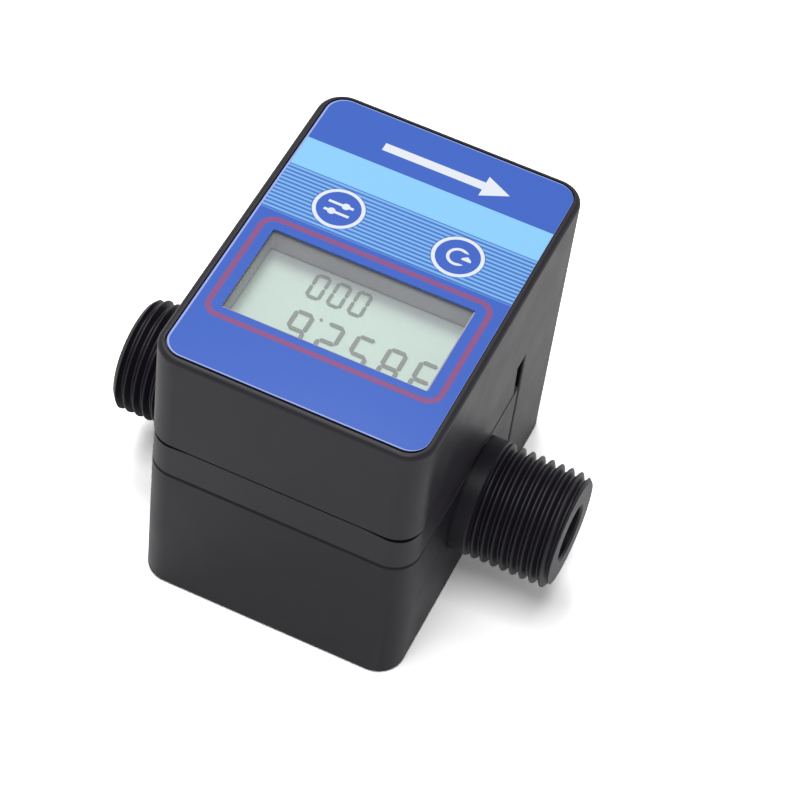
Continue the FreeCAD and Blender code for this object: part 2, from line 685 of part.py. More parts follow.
pocket(display_cover, "window", LABEL_SEAT, "Dims.roof_thickness",
       window_outline(f"{COLLAR_MARGIN} + Dims.collar_gap", "Dims.window_corner"))
pocket(display_cover, "key_wells", LABEL_SEAT, "Dims.key_well_depth",
       *circles(KEY_SPOTS, "Dims.key_diameter + 2 * Dims.key_well_margin"))
pocket(display_cover, "stem_holes", LABEL_SEAT, "Dims.roof_thickness",
       *circles(KEY_SPOTS, "Dims.stem_diameter + 2 * Dims.stem_gap"))
pad(display_cover, "board_bosses", BOARD_TOP, f"{ROOF} - {BOARD_TOP}",
    *circles(BOARD_SPOTS, "Dims.board_boss"))
pocket(display_cover, "board_screw_holes", BOARD_TOP, "Dims.board_screw_length - Dims.board_thickness",
       *circles(BOARD_SPOTS, "Dims.board_screw_diameter"), flipped=True)
BOSS_INNER = f"{SCREW_X} - Dims.assembly_boss / 2"
BOSS_OUTER = f"{HALF_WIDTH} - Dims.cover_wall / 2"
for corner, (_, spot_y) in enumerate(ASSEMBLY_SPOTS):
    flanks = (f"{spot_y} - Dims.assembly_boss / 2", f"{spot_y} + Dims.assembly_boss / 2")
    spans = (BOSS_INNER, BOSS_OUTER) if corner < 2 else (f"-({BOSS_OUTER})", f"-({BOSS_INNER})")
    pad(display_cover, f"assembly_boss_{corner}", LID_TOP, "Dims.assembly_boss_height",
        rectangle(*spans, *flanks))
pocket(display_cover, "assembly_screw_holes", LID_TOP, "Dims.assembly_boss_height",
       *circles(ASSEMBLY_SPOTS, "Dims.assembly_screw_diameter"), flipped=True)
pocket(display_cover, "door_recess", REAR_FACE, "Dims.door_thickness",
       rounded(*across(f"{DOOR_HALF} + Dims.door_gap"), f"{DOOR_BOTTOM} - Dims.door_gap",
               f"{DOOR_TOP} + Dims.door_gap", "Dims.door_corner + Dims.door_gap"),
       flipped=True, role="XZ_Plane")
SEAL_HALF = "Dims.compartment_width / 2 + Dims.door_seal_width"
SEAL_SPAN = ("Dims.compartment_floor - Dims.door_seal_width", f"{COMPARTMENT_TOP} + Dims.door_seal_width")
DOOR_SEAT = f"-({BACK} - Dims.door_thickness)"
pocket(display_cover, "seal_recess", DOOR_SEAT, "Dims.door_seal_thickness",
       rectangle(*across(SEAL_HALF), *SEAL_SPAN), flipped=True, role="XZ_Plane")
COMPARTMENT = rectangle(*across("Dims.compartment_width / 2"), "Dims.compartment_floor", COMPARTMENT_TOP)
pocket(display_cover, "compartment", f"-{COMPARTMENT_BACK}", f"{COMPARTMENT_BACK} - {COMPARTMENT_FRONT}",
       COMPARTMENT, flipped=True, role="XZ_Plane")
HEAD_DEPTH = "(Dims.door_screw_head_height + Dims.door_screw_sink)"
DOOR_SCREW_REACH = f"(Dims.door_screw_length + {HEAD_DEPTH} - Dims.door_thickness)"
pocket(display_cover, "door_screw_holes", DOOR_SEAT, DOOR_SCREW_REACH,
       *circles(DOOR_SPOTS, "Dims.door_screw_diameter"), flipped=True, role="XZ_Plane")
CELL_X = [side + CELL_OFFSET for side in ("", "-")]
STRIP_X = [side + STRIP_OFFSET for side in ("", "-")]
STRIP_HALF = "Dims.strip_width / 2"
for number, strip_x in enumerate(STRIP_X):
    pocket(display_cover, f"strip_slot_{number}", f"-{LEG_FRONT}", "Dims.partition_wall",
           rectangle(f"{strip_x} - {STRIP_HALF} - Dims.strip_gap",
                     f"{strip_x} + {STRIP_HALF} + Dims.strip_gap",
                     f"{BOARD_TOP} - Dims.strip_gap", COMPARTMENT_TOP), role="XZ_Plane")

# Label, window pane and keys

face_label = new_body("face_label")
pad(face_label, "film", LABEL_SEAT, "Dims.label_thickness", label_outline("Dims.label_gap"),
    window_outline(ORIGIN, "Dims.window_corner"), *circles(KEY_SPOTS, "Dims.key_diameter + 2 * Dims.key_gap"))

display_window = new_body("display_window")
pad(display_window, "pane", PANE_FLOOR, "Dims.pane_thickness",
    window_outline("Dims.pane_margin", "Dims.window_corner"))


def make_key(label, x):
    """A film key with the stem under it that presses the switch."""
    key = new_body(label)
    pad(key, "stem", PLUNGER_TOP, f"{LABEL_SEAT} - {PLUNGER_TOP}",
        circle(x, "Dims.key_centre", "Dims.stem_diameter"))
    pad(key, "disc", LABEL_SEAT, "Dims.label_thickness", circle(x, "Dims.key_centre", "Dims.key_diameter"))
    return key


keys = [make_key(f"{name}_key", x) for name, x in KEY_X.items()]

# Display

LCD_HALF = f"({WINDOW_HALF} + Dims.lcd_margin)"
LCD_HALF_DEPTH = f"({WINDOW_HALF_DEPTH} + Dims.lcd_margin)"
FRAME_MARGIN = "(Dims.lcd_margin + Dims.lcd_gap / 2)"

lcd_glass = new_body("lcd_glass")
pad(lcd_glass, "rear_glass", LCD_FLOOR, "Dims.lcd_thickness / 2",
    window_outline("Dims.lcd_margin", "Dims.window_corner"))
pad(lcd_glass, "front_glass", f"{LCD_FLOOR} + Dims.lcd_thickness / 2", "Dims.lcd_thickness / 2",
    rounded(*across(LCD_HALF), f"Dims.window_centre - {LCD_HALF_DEPTH} + Dims.lcd_contact_ledge",
            f"Dims.window_centre + {LCD_HALF_DEPTH} - Dims.lcd_contact_ledge", "Dims.window_corner"))

# The frame stands on the board, closes over the glass and rises through the cover's window as a collar
lcd_frame = new_body("lcd_frame")
COLLAR_TOP = f"({PANE_FLOOR} - Dims.pane_gap)"
pad(lcd_frame, "block", BOARD_TOP, f"{FRAME_TOP} - {BOARD_TOP}",
    window_outline(f"{FRAME_MARGIN} + Dims.lcd_frame_wall", "Dims.lcd_frame_wall"))
pad(lcd_frame, "collar", FRAME_TOP, f"{COLLAR_TOP} - {FRAME_TOP}",
    window_outline(COLLAR_MARGIN, "Dims.window_corner"))
pocket(lcd_frame, "glass_seat", BOARD_TOP, f"{LCD_TOP} - {BOARD_TOP}",
       window_outline(FRAME_MARGIN, "Dims.window_corner"), flipped=True)
pocket(lcd_frame, "opening", COLLAR_TOP, f"{COLLAR_TOP} - {LCD_TOP}",
       window_outline("Dims.collar_step", "Dims.window_corner"))

ZEBRA_Y = [f"(Dims.window_centre {sign} ({LCD_HALF_DEPTH} - Dims.zebra_inset))" for sign in "+-"]
zebra_strips = group("zebra_strips", [
    block(f"zebra_strip_{number}", *across(f"{LCD_HALF} - Dims.zebra_inset"),
          f"{y} - Dims.zebra_width / 2", f"{y} + Dims.zebra_width / 2", BOARD_TOP, LCD_FLOOR)
    for number, y in enumerate(ZEBRA_Y)])

# Circuit board

circuit_board = new_body("circuit_board")
pad(circuit_board, "plate", BOARD_FLOOR, "Dims.board_thickness",
    rounded(*across(f"{CAVITY_HALF} - Dims.board_gap"), f"{CAVITY_FRONT} + Dims.board_gap", BOARD_BACK,
            "Dims.corner_radius - Dims.cover_wall", "Dims.board_corner"),
    *circles(BOARD_SPOTS, "Dims.board_screw_diameter + Dims.board_hole_gap"))

controller_chip = block("controller_chip", *across("Dims.chip_size / 2"),
                        "Dims.window_centre - Dims.chip_size / 2", "Dims.window_centre + Dims.chip_size / 2",
                        BOARD_TOP, f"{BOARD_TOP} + Dims.chip_height")

PLUNGER_FOOT = f"({SWITCH_TOP} - Dims.plunger_sink)"
PLUNGER_WELL = f"({PLUNGER_FOOT} - Dims.key_travel - Dims.plunger_gap)"
switch_members = []
plungers = []
for key_name, key_x in KEY_X.items():
    casing = block(f"{key_name}_switch_casing",
                   f"{key_x} - Dims.switch_size / 2", f"{key_x} + Dims.switch_size / 2",
                   "Dims.key_centre - Dims.switch_size / 2", "Dims.key_centre + Dims.switch_size / 2",
                   BOARD_TOP, SWITCH_TOP)
    well = cylinder(f"{key_name}_switch_well", key_x, "Dims.key_centre", PLUNGER_WELL,
                    "Dims.plunger_diameter + 2 * Dims.plunger_gap", f"{SWITCH_TOP} - {PLUNGER_WELL}")
    switch_members.append(cut(f"{key_name}_switch_base", casing, well))
    plungers.append(cylinder(f"{key_name}_switch_plunger", key_x, "Dims.key_centre", PLUNGER_FOOT,
                             "Dims.plunger_diameter", f"{PLUNGER_TOP} - {PLUNGER_FOOT}"))
switch_bases = group("switch_bases", switch_members)

# Screws


def make_screw(name, x, y, seat, prefix):
    """An upright screw with its head under the seat."""
    head = cylinder(f"{name}_head", x, y, f"{seat} - Dims.{prefix}_head_height",
                    f"Dims.{prefix}_head", f"Dims.{prefix}_head_height")
    shank = cylinder(f"{name}_shank", x, y, seat, f"Dims.{prefix}_diameter", f"Dims.{prefix}_length")
    return joined(name, head, shank)


assembly_screws = group("assembly_screws", [
    make_screw(f"assembly_screw_{number}", x, y, "Dims.counterbore_depth", "assembly_screw")
    for number, (x, y) in enumerate(ASSEMBLY_SPOTS)])
board_screws = group("board_screws", [
    make_screw(f"board_screw_{number}", x, y, BOARD_FLOOR, "board_screw")
    for number, (x, y) in enumerate(BOARD_SPOTS)])

# Battery cells, contacts and door


def make_cell(number, x, upright):
    """A dry cell: its can and the button at its positive end, which points up or down."""
    can_floor = CELL_FLOOR if upright else f"({CELL_FLOOR} + Dims.cell_button_height)"
    button_floor = f"({CELL_FLOOR} + Dims.cell_length - Dims.cell_button_height)" if upright else CELL_FLOOR
    can = cylinder(f"cell_can_{number}", x, CELL_Y, can_floor, "Dims.cell_diameter",
                   "Dims.cell_length - Dims.cell_button_height")
    button = cylinder(f"cell_button_{number}", x, CELL_Y, button_floor, "Dims.cell_button_diameter",
                      "Dims.cell_button_height")
    return joined(f"cell_{number}", can, button)


def make_contact(name, x, floor):
    """The raised round face of a contact that meets a cell's end."""
    return cylinder(name, x, CELL_Y, floor, "Dims.contact_diameter",
                    "Dims.contact_height - Dims.strip_thickness")


battery_cells = group("battery_cells", [
    make_cell(number, x, upright=number == 0) for number, x in enumerate(CELL_X)])
battery_terminals = group("battery_terminals", [
    joined(f"terminal_{number}",
           block(f"terminal_strip_{number}", f"{strip_x} - {STRIP_HALF}", f"{strip_x} + {STRIP_HALF}",
                 f"{LEG_FRONT} - Dims.strip_reach", f"{CELL_Y} + {STRIP_HALF}", BOARD_TOP, COMPARTMENT_TOP),
           make_contact(f"terminal_contact_{number}", cell_x, f"{COMPARTMENT_TOP} - Dims.contact_height"))
    for number, (strip_x, cell_x) in enumerate(zip(STRIP_X, CELL_X))])
bridge_strip = block("bridge_strip", *across(f"{CELL_OFFSET} + {STRIP_HALF}"),
                     f"{CELL_Y} - {STRIP_HALF}", f"{CELL_Y} + {STRIP_HALF}",
                     "Dims.compartment_floor", "Dims.compartment_floor + Dims.strip_thickness")
battery_bridge = joined("battery_bridge", bridge_strip, *(
    make_contact(f"bridge_contact_{number}", x, "Dims.compartment_floor + Dims.strip_thickness")
    for number, x in enumerate(CELL_X)))

battery_door = new_body("battery_door")
DOOR_OUTLINE = rounded(*across(DOOR_HALF), DOOR_BOTTOM, DOOR_TOP, "Dims.door_corner")
door_plate = pad(battery_door, "plate", REAR_FACE, "Dims.door_thickness", DOOR_OUTLINE, role="XZ_Plane")
round_edges(battery_door, "edge_round", door_plate, BACK, "Dims.door_edge_round", axis="Y")
pocket(battery_door, "head_recesses", REAR_FACE, HEAD_DEPTH,
       *circles(DOOR_SPOTS, "Dims.door_screw_head + 2 * Dims.door_gap"), flipped=True, role="XZ_Plane")
pocket(battery_door, "screw_holes", REAR_FACE, "Dims.door_thickness",
       *circles(DOOR_SPOTS, "Dims.door_screw_diameter + 2 * Dims.door_gap"), flipped=True, role="XZ_Plane")

door_seal = new_body("door_seal")
pad(door_seal, "ring", DOOR_SEAT, "Dims.door_seal_thickness", rectangle(*across(SEAL_HALF), *SEAL_SPAN),
    COMPARTMENT, role="XZ_Plane")

TO_FRONT = FreeCAD.Rotation(Vector(1, 0, 0), 90)
door_screw_members = []
for number, (screw_x, screw_z) in enumerate(DOOR_SPOTS):
    seat_y = f"({BACK} - {HEAD_DEPTH})"
    head = cylinder(f"door_screw_head_{number}", screw_x, f"{seat_y} + Dims.door_screw_head_height", screw_z,
                    "Dims.door_screw_head", "Dims.door_screw_head_height")
    shank = cylinder(f"door_screw_shank_{number}", screw_x, seat_y, screw_z,
                     "Dims.door_screw_diameter", "Dims.door_screw_length")
    for turned in (head, shank):
        turned.Placement.Rotation = TO_FRONT
    door_screw_members.append(joined(f"door_screw_{number}", head, shank))
door_screws = group("door_screws", door_screw_members)

# Check every object, then write each piece to its own file

doc.recompute()
nodes = [gear_body, chamber_lid, lid_seal, sensing_gear, sensing_magnet, idler_gear,
         sensing_shaft, idler_shaft, hall_sensor, sensor_board,
         display_cover, face_label, display_window, *keys, lcd_glass, lcd_frame,
         zebra_strips, circuit_board, controller_chip, switch_bases, *plungers, assembly_screws, board_screws,
         battery_cells, battery_terminals, battery_bridge, battery_door, door_seal, door_screws]
failed = [item.Label for item in doc.Objects if {"Invalid", "Error"} & set(item.State)]
failed += [node.Label for node in nodes if node.Shape.isNull() or not node.Shape.isValid()]
for item in doc.Objects:
    if item.TypeId == "PartDesign::Pocket" and item.Shape.Volume >= item.BaseFeature.Shape.Volume:
        failed.append(item.Label)
if failed:
    raise RuntimeError("failed: " + ", ".join(failed))
os.makedirs("parts", exist_ok=True)
for node in nodes:
    node.Shape.exportStep(f"parts/{node.Label}.step")
    print(node.Label, len(node.Shape.Solids), round(node.Shape.Volume, 1))
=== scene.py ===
import contextlib
import json
import math

import bmesh
import bpy
from mathutils import Matrix, Quaternion, Vector


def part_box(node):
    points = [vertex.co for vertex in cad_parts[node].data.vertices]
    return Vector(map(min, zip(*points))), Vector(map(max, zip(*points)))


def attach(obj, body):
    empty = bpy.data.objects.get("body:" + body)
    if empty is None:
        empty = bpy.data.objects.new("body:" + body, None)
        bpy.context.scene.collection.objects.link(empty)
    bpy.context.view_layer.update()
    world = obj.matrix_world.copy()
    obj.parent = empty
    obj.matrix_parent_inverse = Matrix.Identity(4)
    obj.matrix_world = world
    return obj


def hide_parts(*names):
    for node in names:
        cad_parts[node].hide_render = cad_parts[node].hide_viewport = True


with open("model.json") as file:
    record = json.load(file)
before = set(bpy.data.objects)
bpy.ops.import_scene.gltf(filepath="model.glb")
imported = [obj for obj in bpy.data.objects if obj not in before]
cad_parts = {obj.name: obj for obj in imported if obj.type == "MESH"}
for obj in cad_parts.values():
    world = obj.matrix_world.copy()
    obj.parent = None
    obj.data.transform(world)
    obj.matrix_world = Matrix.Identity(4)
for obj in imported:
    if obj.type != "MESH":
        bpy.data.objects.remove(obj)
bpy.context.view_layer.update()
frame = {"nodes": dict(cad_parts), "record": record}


# Gear body: one black glass-filled moulding that holds the gear chamber, with a male pipe spud on each side
# for the liquid. The half-inch pipe thread is moulded in, so its crests and roots are round, and it fades out
# into a plain shank beside the wall.

MM = 0.001
SPUD_BORE = 5.0 * MM
BORE_CHAMFER = 0.4 * MM
PITCH = 25.4 * MM / 14
FLANK_ANGLE = math.radians(27.5)
THREAD_ROUND = 0.137329 * PITCH
THREAD_DEPTH = 0.640327 * PITCH
THREAD_POINTS = 16
THREAD_STEPS = 96
INLET_LEAD = 1.68 * PITCH
OUTLET_LEAD = 1.98 * PITCH
SHANK = 3.0 * MM
RUN_IN = 0.5 * PITCH
SPUD_STUB = 0.3 * MM
JOIN_GAP = 0.1 * MM
TINY = 1e-6
CLOUD_SIZE = 7
CLOUD_GLOSS = 0.16
GRAIN_GLOSS = 0.06


def start_piece(name, add_primitive, **settings):
    """Adds a primitive at its size and place, with nothing else selected."""
    bpy.ops.object.select_all(action="DESELECT")
    add_primitive(**settings)
    piece = bpy.context.object
    piece.name = name
    return piece


@contextlib.contextmanager
def editing(piece):
    """Selects one piece and works on it in edit mode."""
    bpy.ops.object.select_all(action="DESELECT")
    bpy.context.view_layer.objects.active = piece
    piece.select_set(True)
    bpy.ops.object.mode_set(mode="EDIT")
    yield
    bpy.ops.object.mode_set(mode="OBJECT")


def select(piece, kind, wanted):
    """In edit mode, selects only the verts, edges or faces that are wanted."""
    bpy.ops.mesh.select_mode(type=kind)
    bpy.ops.mesh.select_all(action="DESELECT")
    mesh = bmesh.from_edit_mesh(piece.data)
    for item in {"VERT": mesh.verts, "EDGE": mesh.edges, "FACE": mesh.faces}[kind]:
        item.select_set(bool(wanted(item)))
    mesh.select_flush_mode()
    bmesh.update_edit_mesh(piece.data)


def copy_node(node, name):
    """Starts a piece from a CAD node's shape, with its loose triangles merged into one skin."""
    piece = bpy.data.objects.new(name, frame["nodes"][node].data.copy())
    bpy.context.collection.objects.link(piece)
    with editing(piece):
        bpy.ops.mesh.customdata_custom_splitnormals_clear()
        bpy.ops.mesh.select_all(action="SELECT")
        bpy.ops.mesh.remove_doubles(threshold=TINY)
    return piece


def apply_modifier(piece, kind, **settings):
    """Adds a modifier with its settings and applies it."""
    bpy.context.view_layer.objects.active = piece
    modifier = piece.modifiers.new(kind.lower(), kind)
    for name, value in settings.items():
        setattr(modifier, name, value)
    bpy.ops.object.modifier_apply(modifier=modifier.name)


def shade(piece, angle):
    """Smooths a piece's shading across edges that turn less than an angle in degrees."""
    bpy.ops.object.select_all(action="DESELECT")
    bpy.context.view_layer.objects.active = piece
    piece.select_set(True)
    bpy.ops.object.shade_smooth_by_angle(angle=math.radians(angle))


def join(pieces):
    """Joins pieces into the first of them."""
    bpy.ops.object.select_all(action="DESELECT")
    for piece in pieces:
        piece.select_set(True)
    bpy.context.view_layer.objects.active = pieces[0]
    bpy.ops.object.join()
    return pieces[0]


def settle(piece, body, slot, material, *nodes):
    """Gives a finished piece its material, its body and the CAD nodes that it stands for."""
    piece.data.materials.clear()
    piece.data.materials.append(material)
    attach(piece, body)
    if nodes:
        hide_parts(*nodes)


class Socket:
    """An output in a material's nodes. Sums on it are written as on numbers, and add Math nodes."""

    def __init__(self, tree, output):
        self.tree = tree
        self.output = output

    def node(self, kind, inputs, output=0, **settings):
        """Adds a node, sets it up, fills its inputs with values or links, and gives one of its outputs."""
        made = self.tree.nodes.new("ShaderNode" + kind)
        for name, value in settings.items():
            setattr(made, name, value)
        for key, value in inputs.items():
            if isinstance(value, Socket):
                self.tree.links.new(value.output, made.inputs[key])
            else:
                made.inputs[key].default_value = value
        return Socket(self.tree, made.outputs[output])

    def maths(self, operation, *values, clamp=False):
        """Adds a Math node."""
        return self.node("Math", dict(enumerate(values)), operation=operation, use_clamp=clamp)

    def __add__(self, other):
        return self.maths("ADD", self, other)

    def __sub__(self, other):
        return self.maths("SUBTRACT", self, other)

    def __rsub__(self, other):
        return self.maths("SUBTRACT", other, self)

    def __mul__(self, other):
        return self.maths("MULTIPLY", self, other)

    def __truediv__(self, other):
        return self.maths("DIVIDE", self, other)

    def __pow__(self, other):
        return self.maths("POWER", self, other)

    def __abs__(self):
        return self.maths("ABSOLUTE", self)

    __radd__ = __add__
    __rmul__ = __mul__

    def larger(self, other):
        return self.maths("MAXIMUM", self, other)

    def smaller(self, other):
        return self.maths("MINIMUM", self, other)

    def tint(self, without, with_it):
        """Goes from one colour to another as this value goes from 0 to 1."""
        return self.node("Mix", {0: self, 6: without, 7: with_it}, output=2, data_type="RGBA")

    def noise(self, size, detail=2.0):
        """Reads a cloudy pattern at this place, with lumps of a size in millimetres."""
        return self.node("TexNoise", {"Vector": self, "Scale": 1 / (size * MM), "Detail": detail})

    def bump(self, depth, strength=1.0):
        """Makes a surface normal from this height, for a depth in millimetres."""
        return self.node("Bump", {"Height": self, "Strength": strength, "Distance": depth * MM})


def colour(red, green, blue):
    """Turns screen values of 0 to 255 into a linear colour."""
    shares = (red / 255, green / 255, blue / 255)
    return (*(v / 12.92 if v < 0.04045 else ((v + 0.055) / 1.055) ** 2.4 for v in shares), 1.0)


def new_material(name, surface, **fixed):
    """Makes a material with fixed numbers, and with what surface(place) says of the sockets that change."""
    material = bpy.data.materials.new(name)
    material.use_nodes = True
    tree = material.node_tree
    shader = tree.nodes["Principled BSDF"]
    for socket, value in fixed.items():
        shader.inputs[socket.replace("_", " ")].default_value = value
    place = Socket(tree, tree.nodes.new("ShaderNodeTexCoord").outputs["Object"])
    for socket, value in surface(place).items():
        tree.links.new(value.output, shader.inputs[socket])
    return material


def moulded_plastic(name, dark, light, roughness, shine=0.35, grain=0.22, grain_depth=0.006):
    """Moulded plastic: faint flow clouds in its colour and shine, and the fine grain of an eroded mould."""
    def surface(place):
        cloud = place.noise(CLOUD_SIZE, detail=3)
        fine = place.noise(grain, detail=3)
        smoothest = roughness - (CLOUD_GLOSS + GRAIN_GLOSS) / 2
        return {"Base Color": cloud.tint(dark, light),
                "Roughness": cloud * CLOUD_GLOSS + fine * GRAIN_GLOSS + smoothest,
                "Normal": fine.bump(grain_depth)}
    return new_material(name, surface, Specular_IOR_Level=shine)


def thread_drop(along):
    """How far the thread's surface lies below its crest, at a distance along the axis from a crest."""
    across = abs((along / PITCH + 0.5) % 1 - 0.5) * PITCH
    round_half = THREAD_ROUND * math.cos(FLANK_ANGLE)
    if across < round_half:
        return THREAD_ROUND - math.sqrt(THREAD_ROUND ** 2 - across ** 2)
    from_root = PITCH / 2 - across
    if from_root < round_half:
        return THREAD_DEPTH - THREAD_ROUND + math.sqrt(THREAD_ROUND ** 2 - from_root ** 2)
    return THREAD_ROUND * (1 - math.sin(FLANK_ANGLE)) + (across - round_half) / math.tan(FLANK_ANGLE)


def pull_ring(piece, along, radius):
    """Extrudes the selected ring and puts the new one at a place along the axis, at a radius."""
    bpy.ops.mesh.extrude_edges_move()
    for vertex in bmesh.from_edit_mesh(piece.data).verts:
        if vertex.select:
            across = Vector((0, vertex.co.y, vertex.co.z)).normalized() * radius
            vertex.co = Vector((along, 0, 0)) + across
    bmesh.update_edit_mesh(piece.data)


def make_spud(name, mount, lead, end):
    """Makes a threaded spud about the X axis, from its cut beside the wall to its end, open at the cut."""
    crest = mount["dims"]["r_mm"] * MM
    crest_end = abs(mount["pos_m"][0]) + mount["dims"]["length_mm"] * MM / 2
    shank_end = wall + SHANK

    def finished(along, radius):
        """The thread's radius, once it fades into the shank at one end and is chamfered at the other."""
        fade = min(1, max(0, (along - shank_end) / RUN_IN))
        return min(crest - (crest - radius) * fade, crest + crest_end - along)

    spud = start_piece(name, bpy.ops.mesh.primitive_plane_add, size=PITCH)
    start = spud_cut - lead
    with editing(spud):
        select(spud, "VERT", lambda vertex: vertex.index > 0)
        bpy.ops.mesh.delete(type="VERT")
        for vertex in bmesh.from_edit_mesh(spud.data).verts:
            vertex.co = (start, 0, crest)
            vertex.select_set(True)
        bmesh.update_edit_mesh(spud.data)
        step = PITCH / THREAD_POINTS
        for number in range(THREAD_POINTS):
            rise = thread_drop(number * step) - thread_drop((number + 1) * step)
            bpy.ops.mesh.extrude_region_move(TRANSFORM_OT_translate={"value": (step, 0, rise)})
    apply_modifier(spud, "SCREW", axis="X", angle=math.tau, screw_offset=PITCH, steps=THREAD_STEPS,
                   render_steps=THREAD_STEPS, iterations=math.ceil((end - start) / PITCH) + 1)
    with editing(spud):
        bpy.ops.mesh.select_all(action="SELECT")
        bpy.ops.mesh.remove_doubles(threshold=TINY)
        for along in (shank_end, shank_end + RUN_IN, crest_end):
            bpy.ops.mesh.select_all(action="SELECT")
            bpy.ops.mesh.bisect(plane_co=(along, 0, 0), plane_no=(1, 0, 0), threshold=TINY)
        for along, side in ((spud_cut, -1), (end, 1)):
            bpy.ops.mesh.select_all(action="SELECT")
            bpy.ops.mesh.bisect(plane_co=(along, 0, 0), plane_no=(side, 0, 0), clear_outer=True, threshold=TINY)
        mesh = bmesh.from_edit_mesh(spud.data)
        for vertex in mesh.verts:
            radius = math.hypot(vertex.co.y, vertex.co.z)
            vertex.co.yz = vertex.co.yz * (finished(vertex.co.x, radius) / radius)
        bmesh.update_edit_mesh(spud.data)
        select(spud, "EDGE", lambda edge: edge.is_boundary
               and all(abs(vertex.co.x - end) < TINY for vertex in edge.verts))
        pull_ring(spud, end, SPUD_BORE + BORE_CHAMFER)
        pull_ring(spud, end - BORE_CHAMFER, SPUD_BORE)
        pull_ring(spud, spud_cut, SPUD_BORE)
    return spud


mounts = {mount["name"]: mount for mount in frame["record"]["mounts"]}
body_low, body_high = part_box("gear_body")
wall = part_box("display_cover")[1].x
spud_cut = wall + SPUD_STUB
port = Vector(mounts["outlet_thread"]["pos_m"])

inlet_spud = make_spud("inlet_spud", mounts["inlet_thread"], INLET_LEAD, -body_low.x)
outlet_spud = make_spud("outlet_spud", mounts["outlet_thread"], OUTLET_LEAD, body_high.x)
for spud, turn in ((inlet_spud, math.pi), (outlet_spud, 0)):
    spud.data.transform(Matrix.Translation((0, port.y, port.z)) @ Matrix.Rotation(turn, 4, "Z"))

gear_body = copy_node("gear_body", "gear_body_moulding")
with editing(gear_body):
    for side in (-1, 1):
        bpy.ops.mesh.select_all(action="SELECT")
        bpy.ops.mesh.bisect(plane_co=(side * (spud_cut - JOIN_GAP), 0, 0), plane_no=(side, 0, 0),
                            clear_outer=True, threshold=TINY)
join([gear_body, inlet_spud, outlet_spud])


def spud_rim(side, inside):
    """Picks the open rims at one spud's cut, either round the outside or round the bore."""
    def wanted(edge):
        middle = (edge.verts[0].co + edge.verts[1].co) / 2
        near = abs(side * middle.x - spud_cut) < 2 * JOIN_GAP
        in_bore = math.hypot(middle.y - port.y, middle.z - port.z) < SPUD_BORE + SPUD_STUB
        return edge.is_boundary and near and in_bore == inside
    return wanted


with editing(gear_body):
    for side in (-1, 1):
        for inside in (False, True):
            select(gear_body, "EDGE", spud_rim(side, inside))
            bpy.ops.mesh.bridge_edge_loops()
    bpy.ops.mesh.select_all(action="SELECT")
    bpy.ops.mesh.normals_make_consistent(inside=False)
shade(gear_body, angle=32)

# Painted shade: a shade darker than the cover's black, for the lower body that sits in more shade.
body_plastic_painted_shade = moulded_plastic("black_moulding_body", dark=colour(25, 22, 30), light=colour(32, 29, 37),
                               roughness=0.42, shine=0.28)
settle(gear_body, "housing", "housing_plastic", body_plastic_painted_shade, "gear_body")


# Shafts: two ground steel pins that the gears turn on. They are pressed into the floor of the chamber, and the
# lid holds their upper ends.

SCRATCH_STRETCH = 14
SCRATCH_GLOSS = 0.2
SCRATCH_DEPTH = 0.002
TONE_SIZE = 3


def dress(material, *nodes):
    """Gives CAD nodes that keep their shape a material."""
    for node in nodes:
        frame["nodes"][node].material_slots[0].material = material


def ground_steel(name, dark, light, roughness, scratch=0.08):
    """Bare or plated steel: fine turned scratches in its shine, and a slightly uneven tone."""
    def surface(place):
        rings = place.node("Mapping", {"Vector": place, "Scale": (1, 1, SCRATCH_STRETCH)})
        fine = rings.noise(scratch * SCRATCH_STRETCH, detail=4)
        tone = place.noise(TONE_SIZE, detail=2)
        return {"Base Color": tone.tint(dark, light),
                "Roughness": fine * SCRATCH_GLOSS + (roughness - SCRATCH_GLOSS / 2),
                "Normal": fine.bump(SCRATCH_DEPTH, strength=0.5)}
    return new_material(name, surface, Metallic=1.0)


shaft_steel = ground_steel("shaft_steel_ground", dark=colour(150, 150, 150), light=colour(196, 195, 192),
                           roughness=0.25)
dress(shaft_steel, "sensing_shaft", "idler_shaft")


# Gears: two meshing spur gears that the liquid turns. They are moulded in a pale, hard-wearing polymer, and run
# free on the shafts.

gear_polymer = moulded_plastic("gear_polymer_ivory", dark=colour(214, 208, 190), light=colour(232, 227, 212),
                               roughness=0.4)
dress(gear_polymer, "sensing_gear", "idler_gear")


# Magnet: a ring of sintered ferrite that tells the sensor how fast the gear turns. It is ground flat and
# pressed into the top of the sensing gear.

ferrite = moulded_plastic("ferrite_grey", dark=colour(46, 45, 47), light=colour(66, 65, 66), roughness=0.5,
                          grain=0.12, grain_depth=0.01)
dress(ferrite, "sensing_magnet")


# Lid: the plate that closes the gear chamber, the same black moulding as the body, with a rubber ring round its
# spigot. Its black is a little lighter than the body's: painted light, for a face that catches more light. The
# long screws from below hold it. The gap over its front edge opens wider at the corners, and its side edges are
# cut back where it meets the body.

LID_GAP = 0.5 * MM
SAG_START = 16.0 * MM
SAG_LENGTH = 7.0 * MM
SAG_DEPTH = 3.5 * MM
CORNER_SAG = 0.65 * MM
LEDGE_BACK = -29.0 * MM
LEDGE_SLACK = 0.05 * MM
SEAM_CHAMFER = 0.4 * MM
SEAM_RISE = 0.5 * MM
SEAM_SLACK = 0.1 * MM
BLOOM_SIZE = 1.5
RUBBER_GRAIN = 0.15


def rubber(name, tone):
    """Matt moulded rubber with a soft bloom on its surface."""
    def surface(place):
        bloom = place.noise(BLOOM_SIZE, detail=4)
        dark = colour(tone - 6, tone - 6, tone - 6)
        light = colour(tone + 8, tone + 8, tone + 7)
        return {"Base Color": bloom.tint(dark, light),
                "Roughness": bloom * 0.2 + 0.6,
                "Normal": place.noise(RUBBER_GRAIN).bump(0.004)}
    return new_material(name, surface)


seal_rubber = rubber("seal_rubber_black", tone=26)
dress(seal_rubber, "lid_seal")

